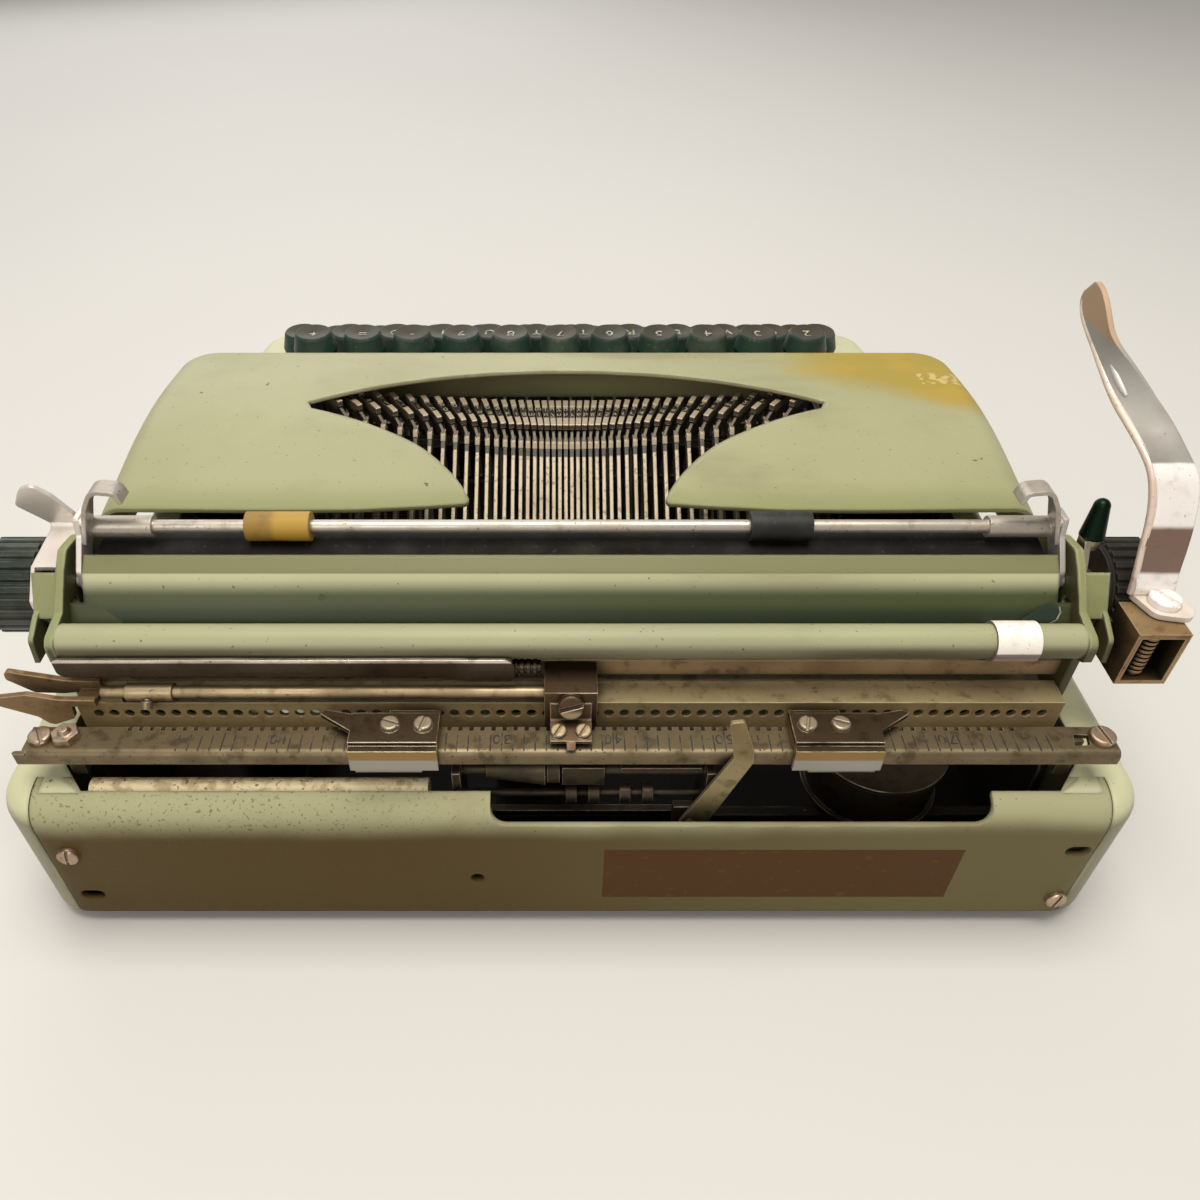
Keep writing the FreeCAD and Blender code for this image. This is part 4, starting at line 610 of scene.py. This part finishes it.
# Painted shade on the slanted cut ends.
slant = table_paint.math("SUBTRACT", table_paint.math("ABSOLUTE", table_paint.axis("X")),
                         table_paint.math("MULTIPLY", face_z, END_SLANT))
table_paint.tint(table_paint.band(slant, *END_AT), (0.045, 0.050, 0.018), 0.9)
table_paint.tint(table_paint.band(face_z, *STRIP_Z), (0.17, 0.165, 0.070), 0.95)
dress(table_paint.done(), "paper_table")

leaf_finish = Finish("release_leaf", (0.012, 0.026, 0.012), 0.12)
leaf_finish.tint(leaf_finish.band(leaf_finish.noise(200, 3), 0.5, 0.7), (0.05, 0.06, 0.035), 0.5)
leaf_edge = metal("leaf_edge", (0.80, 0.74, 0.66), (0.5, 0.4, 0.3), 0.25, 0.2)
LEAF = [(-104.0, 0.3), (-111.4, 5.0), (-113.4, 5.6), (-114.9, 4.9), (-115.3, 3.4), (-114.4, 1.6),
        (-112.2, 0.4)]
LEAF_OUT, RIM_OUT, RIM_SHIFT, LEAF_BEVEL = (0.8, 1.25), (0.25, 0.75), (0.75, 0.25), 0.0002
LOWER_FOLD_Y, LOWER_FOLD_Z = 115.4, 76.2
slope = math.atan2(10.4, -7.2)


def on_table(a, b, t):
    """a along the table, b up its face from the lower fold, t out from it."""
    return (a, LOWER_FOLD_Y + b * math.cos(slope) + t * math.sin(slope),
            LOWER_FOLD_Z + b * math.sin(slope) - t * math.cos(slope))


leaf = Form()
leaf.plate(LEAF, *LEAF_OUT, 0, MILLIMETRES, on_table)
leaf.piece("release_leaf", "platen_frame", leaf_finish.done(), "chrome", (), LEAF_BEVEL)
rim = Form()
rim.plate([(a - RIM_SHIFT[0], b - RIM_SHIFT[1]) for a, b in LEAF], *RIM_OUT, 0, MILLIMETRES,
          on_table)
rim.piece("release_leaf_rim", "platen_frame", leaf_edge.done(), "chrome", (), LEAF_BEVEL)

# Platen, its shaft and the feed rollers -----------------------------------------------------
# A tube of hard black rubber on a steel shaft, with rubber rollers under it that grip the paper.
dress(rubber, "platen", "feed_rollers")
dress(steel, "platen_shaft")

# Knobs --------------------------------------------------------------------------------------
# Ribbed moulded knobs, pushed on the ends of the shaft; the left one has browned with age.
dress(plastic("knob_plastic", (0.012, 0.020, 0.013), 0.34, 0.10).done(), "knob_right")
dress(plastic("knob_brown", (0.018, 0.013, 0.009), 0.5, 0.15, 0.45).done(), "knob_left")

# Paper bail and its rollers -----------------------------------------------------------------
# A plated bar on two arms with a loose rubber roller near each end. One roller is black; the
# other has gone ochre with age, and brown on one half.
dress(bright_made, "paper_bail")
dress(plastic("bail_rubber", (0.006, 0.006, 0.006), 0.55, 0.15, 0.5).done(), "bail_roller_left")
bail_ochre = plastic("bail_ochre", (0.40, 0.235, 0.028), 0.50, 0.10)
bail_ochre.tint(bail_ochre.band(bail_ochre.noise(120, 5), 0.50, 0.62), (0.14, 0.075, 0.012), 0.8)
roller_x = sum(corner.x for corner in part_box("bail_roller_right")) / 2
bail_ochre.tint(bail_ochre.along("X", roller_x, roller_x + 0.002), (0.20, 0.115, 0.028), 0.65)
dress(bail_ochre.done(), "bail_roller_right")

# Release levers -----------------------------------------------------------------------------
# The carriage release is a plated strip at the right end. The paper release has a plated stem
# with a glossy dark tip pushed over it.
dress(bright_made, "carriage_release_lever")
tip_finish = metal("release_tip", (0.50, 0.44, 0.33), (0.25, 0.20, 0.12), 0.25)
TIP_Z = (0.0920, 0.0922)
tip_finish.tint(tip_finish.along("Z", *TIP_Z), (0.010, 0.020, 0.012), 1.0)
dress(tip_finish.done(), "paper_release_lever")

# Return lever and its bracket ---------------------------------------------------------------
# A long pressed and plated steel lever on a foot screw, in a folded bronze box with a spring. The
# plate carries painted reflections: a dark band, a bright one, a grey one and rosy streaks. A
# rolled rim runs down its inner edge, and a raised rib lies under the finger leaf.
lever_metal = metal("lever_plate", (0.97, 0.91, 0.87), (0.88, 0.79, 0.74), 0.16, 0.25,
                    (0.85, 0.66, 0.52), 0.6, metallic=0.12)
DARK_REFLECTION_FROM, DARK_REFLECTION_TO = (0.0884, 0.0896), (0.1010, 0.0996)
GREY_REFLECTION_Z, LEAF_END_Z, FOOT_Z = (0.1132, 0.1137), (0.1270, 0.1285), (0.0838, 0.0830)
lever_z = lever_metal.math("ADD", lever_metal.axis("Z"),
                           lever_metal.math("MULTIPLY", lever_metal.noise(60, 4), 0.0012))
# Painted reflections: rosy streaks, a dark band and a grey band across the plate.
rosy_reflection_streaks = lever_metal.band(lever_metal.noise(40, 4, (0.3, 1.0, 1.0)), 0.5, 0.7)
lever_metal.tint(rosy_reflection_streaks, (0.80, 0.66, 0.60), 0.35)
dark_reflection_band = lever_metal.both(lever_metal.band(lever_z, *DARK_REFLECTION_FROM),
                        lever_metal.band(lever_z, *DARK_REFLECTION_TO))
lever_metal.tint(dark_reflection_band, (0.165, 0.088, 0.055), 0.95)
grey_reflection_band = lever_metal.band(lever_z, *GREY_REFLECTION_Z)
lever_metal.tint(grey_reflection_band, (0.31, 0.295, 0.265), 0.95)
lever_metal.tint(lever_metal.both(grey_reflection_band, lever_metal.band(lever_metal.noise(28, 5), 0.42, 0.60)),
                 (0.20, 0.17, 0.145), 0.8)
lever_metal.rougher(grey_reflection_band, 0.30)
lever_metal.tint(lever_metal.band(lever_z, *LEAF_END_Z), (0.46, 0.30, 0.19), 0.95)
lever_metal.tint(lever_metal.band(lever_z, *FOOT_Z), (0.62, 0.50, 0.40), 0.7)
dress(lever_metal.done(), "return_lever")

bracket_metal = old_metal("bracket_bronze", (0.40, 0.27, 0.13), (0.19, 0.11, 0.05), 0.40, 0.7,
                          (0.70, 0.46, 0.28), 1.0)
# Painted shade deep inside the folded box.
bracket_metal.tint(bracket_metal.recess(0.03), (0.010, 0.006, 0.003), 0.97)
dress(bracket_metal.done(), "return_lever_bracket")

LEVER_EDGE = ((-132.4, 110.6, 82.4), (-131.8, 110.4, 87.0), (-131.2, 109.2, 93.0),
              (-131.1, 107.0, 101.2), (-130.4, 105.0, 106.6), (-129.2, 102.8, 111.2),
              (-128.1, 98.6, 114.0), (-127.6, 90.8, 115.8), (-127.2, 82.4, 117.4),
              (-127.0, 75.2, 119.9), (-126.9, 66.8, 123.2), (-126.8, 58.4, 126.2),
              (-126.8, 54.8, 128.8), (-126.7, 54.8, 131.6))
LEVER_EDGE_RADII = [0.8] * 3 + [0.95] * 9 + [0.9, 0.5]
LEVER_RIB = ((-128.6, 83.8, 119.2), (-128.4, 80.6, 120.2), (-128.0, 76.6, 121.9),
             (-127.4, 70.0, 124.9))
LEVER_RIB_RADII = (0.5, 1.0, 0.9, 0.4)


def bead(name, places, radii, body, finish):
    """A smooth round bead along a line of places, thin or thick as radii say."""
    curve = bpy.data.curves.new(name, "CURVE")
    curve.dimensions = "3D"
    curve.bevel_depth = MM
    curve.bevel_resolution = 3
    curve.use_fill_caps = True
    line = curve.splines.new("NURBS")
    line.points.add(len(places) - 1)
    for point, place, radius in zip(line.points, places, radii):
        point.co = (*[c * MM for c in place], 1)
        point.radius = radius
    line.order_u = 3
    line.use_endpoint_u = True
    shown = bpy.data.objects.new(name, curve)
    mesh = bpy.data.meshes.new_from_object(shown)
    bpy.data.objects.remove(shown)
    made = bpy.data.objects.new(name, mesh)
    mesh.materials.clear()
    mesh.materials.append(finish)
    for face in mesh.polygons:
        face.use_smooth = True
    scene.collection.objects.link(made)
    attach(made, body)
    return made


rosy = metal("rosy_rim", (0.86, 0.70, 0.60), (0.66, 0.48, 0.36), 0.30, 0.4, (0.9, 0.8, 0.7), 0.3,
             metallic=0.35)
bead("return_lever_rim", LEVER_EDGE, LEVER_EDGE_RADII, "return_lever", rosy.done())
pale = metal("rib_plate", (0.62, 0.61, 0.57), (0.45, 0.43, 0.40), 0.45, 0.4, (0.8, 0.78, 0.72),
             0.3, metallic=0.4)
bead("return_lever_rib", LEVER_RIB, LEVER_RIB_RADII, "return_lever", pale.done())

# Margin rack and scale ----------------------------------------------------------------------
# A flat bar of plated steel screwed across the rear. Lines and numbers are stamped in it, one
# line to each step of the carriage, and have filled with dirt.
rack_steel = old_metal("rack_steel", (0.19, 0.145, 0.082), (0.075, 0.050, 0.024), 0.40, 0.8,
                       (0.52, 0.43, 0.32), 0.9)
dress(rack_steel.done(), "margin_rack")
screw_steel = metal("screw_metal", (0.52, 0.39, 0.28), (0.22, 0.14, 0.08), 0.34).done()
dress(screw_steel, "margin_rack_screws")

stamped = Finish("stamped_marks", (0.016, 0.011, 0.007), 0.6)
stamped.tint(stamped.band(stamped.noise(500, 3), 0.48, 0.62), (0.10, 0.075, 0.045), 0.7)
stamped_made = stamped.done()
SCALE_ZERO, LETTER_PITCH = 94.1, 2.6
LINE_Z, LINE_WIDTH = 59.03, 0.30
NUMBER_Y, NUMBER_Z, NUMBER_HEIGHT, DIGIT_OFFSETS = 135.9, 59.04, 2.9, (-1.25, 1.25)


def add_lines(first, last, step, front, rear):
    """Scale lines from value first to last, as a node tree that repeats one thin line."""
    tree = bpy.data.node_groups.new("scale_lines", "GeometryNodeTree")
    for name, kind in (("Count", "NodeSocketInt"), ("Step", "NodeSocketVector"),
                       ("Start", "NodeSocketVector"), ("Width", "NodeSocketFloat"),
                       ("Length", "NodeSocketFloat"), ("Finish", "NodeSocketMaterial")):
        tree.interface.new_socket(name, in_out="INPUT", socket_type=kind)
    tree.interface.new_socket("Geometry", in_out="OUTPUT", socket_type="NodeSocketGeometry")
    node, link = tree.nodes.new, tree.links.new
    given, out = node("NodeGroupInput"), node("NodeGroupOutput")
    row, mark = node("GeometryNodeMeshLine"), node("GeometryNodeMeshGrid")
    spread = node("GeometryNodeInstanceOnPoints")
    real, coat = node("GeometryNodeRealizeInstances"), node("GeometryNodeSetMaterial")
    mark.inputs["Vertices X"].default_value = mark.inputs["Vertices Y"].default_value = 2
    for source, socket in (("Count", row.inputs["Count"]), ("Step", row.inputs["Offset"]),
                           ("Start", row.inputs["Start Location"]),
                           ("Width", mark.inputs["Size X"]), ("Length", mark.inputs["Size Y"]),
                           ("Finish", coat.inputs["Material"])):
        link(given.outputs[source], socket)
    link(row.outputs["Mesh"], spread.inputs["Points"])
    link(mark.outputs["Mesh"], spread.inputs["Instance"])
    link(spread.outputs["Instances"], real.inputs["Geometry"])
    link(real.outputs["Geometry"], coat.inputs["Geometry"])
    link(coat.outputs["Geometry"], out.inputs[0])
    host = bpy.data.objects.new("lines_host", bpy.data.meshes.new("lines_host"))
    scene.collection.objects.link(host)
    modifier = host.modifiers.new("lines", "NODES")
    modifier.node_group = tree
    values = {"Count": (last - first) // step + 1, "Step": (-LETTER_PITCH * step * MM, 0.0, 0.0),
              "Start": ((SCALE_ZERO - LETTER_PITCH * first) * MM, (front + rear) / 2 * MM,
                        LINE_Z * MM),
              "Width": LINE_WIDTH * MM, "Length": (rear - front) * MM, "Finish": stamped_made}
    for item in tree.interface.items_tree:
        if item.in_out == "INPUT":
            modifier[item.identifier] = values[item.name]
    bpy.context.view_layer.update()
    shown = host.evaluated_get(bpy.context.evaluated_depsgraph_get())
    mesh = bpy.data.meshes.new_from_object(shown)
    bpy.data.objects.remove(host)
    made = bpy.data.objects.new("scale_lines_%d" % step, mesh)
    scene.collection.objects.link(made)
    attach(made, "machine")


add_lines(1, 79, 1, 134.6, 139.3)
add_lines(5, 75, 5, 133.8, 134.6)
scale_marks = Form()
for value in range(10, 80, 10):
    for digit, offset in zip(str(value), DIGIT_OFFSETS):
        flat, faces = glyph(digit, NUMBER_HEIGHT)
        x = SCALE_ZERO - LETTER_PITCH * value + offset
        shift = MILLIMETRES @ Matrix.Translation((x, NUMBER_Y, NUMBER_Z))
        scale_marks.add([(a, b, 0) for a, b in flat], faces, 0, shift)
scale_marks.piece("margin_scale", "machine", stamped_made, "tarnished_steel")

# Margin stops -------------------------------------------------------------------------------
# Folded blocks that slide on the rack and lock in its teeth: nickel tab, golden saddle, brown
# plate and pale screws, from below upwards.
stop_metal = old_metal("stop_metal", (0.070, 0.044, 0.022), (0.035, 0.021, 0.010), 0.38, 0.8,
                       (0.85, 0.74, 0.52), 1.0)
SADDLE_Z, TAB_Z, HEADS_Z = (0.0612, 0.0609), (0.0585, 0.0578), (0.06245, 0.06265)
stop_metal.tint(stop_metal.along("Z", *SADDLE_Z), (0.34, 0.215, 0.075), 0.85)
stop_metal.tint(stop_metal.along("Z", *TAB_Z), (0.36, 0.345, 0.315), 0.95)
stop_metal.tint(stop_metal.along("Z", *HEADS_Z), (0.42, 0.34, 0.24), 0.9)
dress(stop_metal.done(), "margin_stop_left", "margin_stop_right")

# Rear panel ---------------------------------------------------------------------------------
# A pressed steel panel with a notch, sprayed like the casing and screwed on at its corners. Below
# its rolled rim it is painted dull and brown as a dark reflection, paler at the left end, with a
# worn bare field and no writing.
panel_paint = paint("paint_panel", (0.36, 0.345, 0.20), dirt=0.55, upright=0.0, gloss=0.10)
BROWN_REFLECTION_Z, PALER_X, PEPPER_X = (0.0475, 0.0385), (0.045, -0.100), (-0.02, 0.08)
FIELD_X, FIELD_Z = (-0.0960, -0.0082), (0.0118, 0.0325)
height_z = panel_paint.math("ADD", panel_paint.axis("Z"),
                            panel_paint.math("MULTIPLY", panel_paint.noise(26, 5), 0.006))
# Painted dark reflection: brown below the rolled rim, paler at the left end.
dark_reflection_below_rim = panel_paint.band(height_z, *BROWN_REFLECTION_Z)
panel_paint.tint(dark_reflection_below_rim, (0.076, 0.043, 0.008), 0.96)
panel_paint.tint(panel_paint.both(dark_reflection_below_rim, panel_paint.along("X", *PALER_X)),
                 (0.155, 0.130, 0.055), 0.85)
patch = panel_paint.both(panel_paint.window("X", *FIELD_X), panel_paint.window("Z", *FIELD_Z))
panel_paint.tint(patch, (0.072, 0.026, 0.0025), 0.92)
scratched = panel_paint.band(panel_paint.noise(500, 4, (0.5, 1.0, 1.0)), 0.62, 0.68)
panel_paint.tint(panel_paint.both(patch, scratched), (0.13, 0.085, 0.03), 0.35)
peppered = panel_paint.both(panel_paint.band(panel_paint.noise(1100, 3), 0.60, 0.66),
                            panel_paint.along("X", *PEPPER_X))
panel_paint.tint(peppered, (0.10, 0.075, 0.03), 0.6)
dress(panel_paint.done(), "rear_panel")
dress(screw_steel, "rear_panel_screws")

# Top cover ----------------------------------------------------------------------------------
# A pressed steel cover with a fan-shaped opening over the typebars, sprayed green and clipped on
# the casing. Greener at its rear edge; a yellow patch with chipped marks at the typist's left. Its
# steep walls, round the opening too, are painted lighter than the top, as painted light.
# With low above 1 the steep walls are painted lighter: painted light.
cover_paint = paint("paint_cover", (0.345, 0.335, 0.185), dirt=0.30, edge=1.0, upright=0.8,
                    low=1.35, roll=0.0024)
REAR_EDGE_Y = (0.038, 0.051)
HALF_WIDTH, STAIN_SLANT, STAIN_Y, STAIN_X = 0.141, 0.45, (0.022, 0.004), (-0.066, -0.100)
MARKS_X, MARKS_Y = (-0.141, -0.122), (-0.024, -0.015)
cover_paint.tint(cover_paint.along("Y", *REAR_EDGE_Y), (0.235, 0.245, 0.095), 0.8)
from_side = cover_paint.math("ADD", cover_paint.axis("X"), HALF_WIDTH)
away = cover_paint.math("ADD", cover_paint.axis("Y"),
                        cover_paint.math("MULTIPLY", from_side, STAIN_SLANT))
wavy = cover_paint.math("MULTIPLY", cover_paint.noise(45, 4), 0.016)
stain = cover_paint.both(cover_paint.band(cover_paint.math("ADD", away, wavy), *STAIN_Y),
                         cover_paint.along("X", *STAIN_X))
cover_paint.tint(stain, (0.335, 0.245, 0.028), 0.95)
cover_paint.tint(cover_paint.both(stain, cover_paint.band(cover_paint.noise(60, 5), 0.45, 0.65)),
                 (0.42, 0.27, 0.04), 0.6)
marks = cover_paint.both(cover_paint.window("X", *MARKS_X), cover_paint.window("Y", *MARKS_Y))
marks = cover_paint.both(marks, cover_paint.band(cover_paint.noise(420, 3), 0.50, 0.56))
cover_paint.tint(marks, (0.60, 0.46, 0.20), 0.7)
dress(cover_paint.done(), "top_cover")

# Floor --------------------------------------------------------------------------------------
# A plain pale sweep under the machine, not part of it.
FLOOR_REACH = 6.0
floor_finish = Finish("floor", (0.62, 0.60, 0.57), 0.8)
floor_finish.tint(floor_finish.band(floor_finish.noise(3, 3), 0.3, 0.7), (0.58, 0.56, 0.53), 0.3)
mesh = bpy.data.meshes.new("floor")
mesh.from_pydata([(x * FLOOR_REACH, y * FLOOR_REACH, 0)
                  for x, y in ((-1, -1), (1, -1), (1, 1), (-1, 1))], [], [(0, 1, 2, 3)])
mesh.materials.append(floor_finish.done())
floor = bpy.data.objects.new("floor", mesh)
scene.collection.objects.link(floor)


# Light --------------------------------------------------------------------------------------
# A broad soft panel overhead, weaker ones from the rear and the front, and a pale room.
def area_light(name, place, aim, size, power, colour):
    data = bpy.data.lights.new(name, "AREA")
    data.size = size
    data.energy = power
    data.color = colour
    light = bpy.data.objects.new(name, data)
    scene.collection.objects.link(light)
    light.location = place
    light.rotation_euler = (Vector(aim) - Vector(place)).to_track_quat("-Z", "Y").to_euler()


area_light("overhead", (0.0, 0.10, 1.15), (0, 0.02, 0.03), 0.7, 13.0, (1.0, 0.97, 0.90))
area_light("rear_fill", (0.30, 0.95, 0.60), (0, 0.1, 0.05), 0.5, 2.5, (1.0, 0.96, 0.90))
area_light("front_fill", (0.35, -0.95, 0.60), (0, 0, 0.05), 1.0, 3.5, (0.97, 0.98, 1.0))
# The room looks paler to the eye and in the metal than it lights.
ROOM_LIGHTS, ROOM_LOOKS = 0.45, 0.60
world = bpy.data.worlds.new("room")
world.use_nodes = True
room, link = world.node_tree.nodes, world.node_tree.links.new
backdrop = room["Background"]
backdrop.inputs[0].default_value = (0.80, 0.79, 0.76, 1)
sight, seen = room.new("ShaderNodeLightPath"), room.new("ShaderNodeMath")
seen.operation = "MAXIMUM"
link(sight.outputs["Is Camera Ray"], seen.inputs[0])
link(sight.outputs["Is Glossy Ray"], seen.inputs[1])
level = room.new("ShaderNodeMapRange")
level.inputs["To Min"].default_value = ROOM_LIGHTS
level.inputs["To Max"].default_value = ROOM_LOOKS
link(seen.outputs[0], level.inputs["Value"])
link(level.outputs["Result"], backdrop.inputs[1])
scene.world = world

# Camera -------------------------------------------------------------------------------------
# Behind the machine and above it, close by, looking down at the rear panel and the carriage.
PICTURE = 1200  # width and height; the focal length and the optical centre are in its pixels
FOCAL = 962.0
CENTRE = (555.0, 626.0)
DOWN = 42.2
SENSOR = 36.0
camera = bpy.data.objects.new("camera", bpy.data.cameras.new("camera"))
scene.collection.objects.link(camera)
camera.location = (0.0037, 0.2845, 0.2295)
camera.rotation_euler = (math.radians(90 - DOWN), 0, math.radians(180))
camera.data.sensor_width = SENSOR
camera.data.lens = FOCAL / PICTURE * SENSOR
camera.data.shift_x = (PICTURE / 2 - CENTRE[0]) / PICTURE
camera.data.shift_y = (CENTRE[1] - PICTURE / 2) / PICTURE
camera.data.clip_start = 0.01
scene.camera = camera
scene.view_settings.view_transform = "Standard"
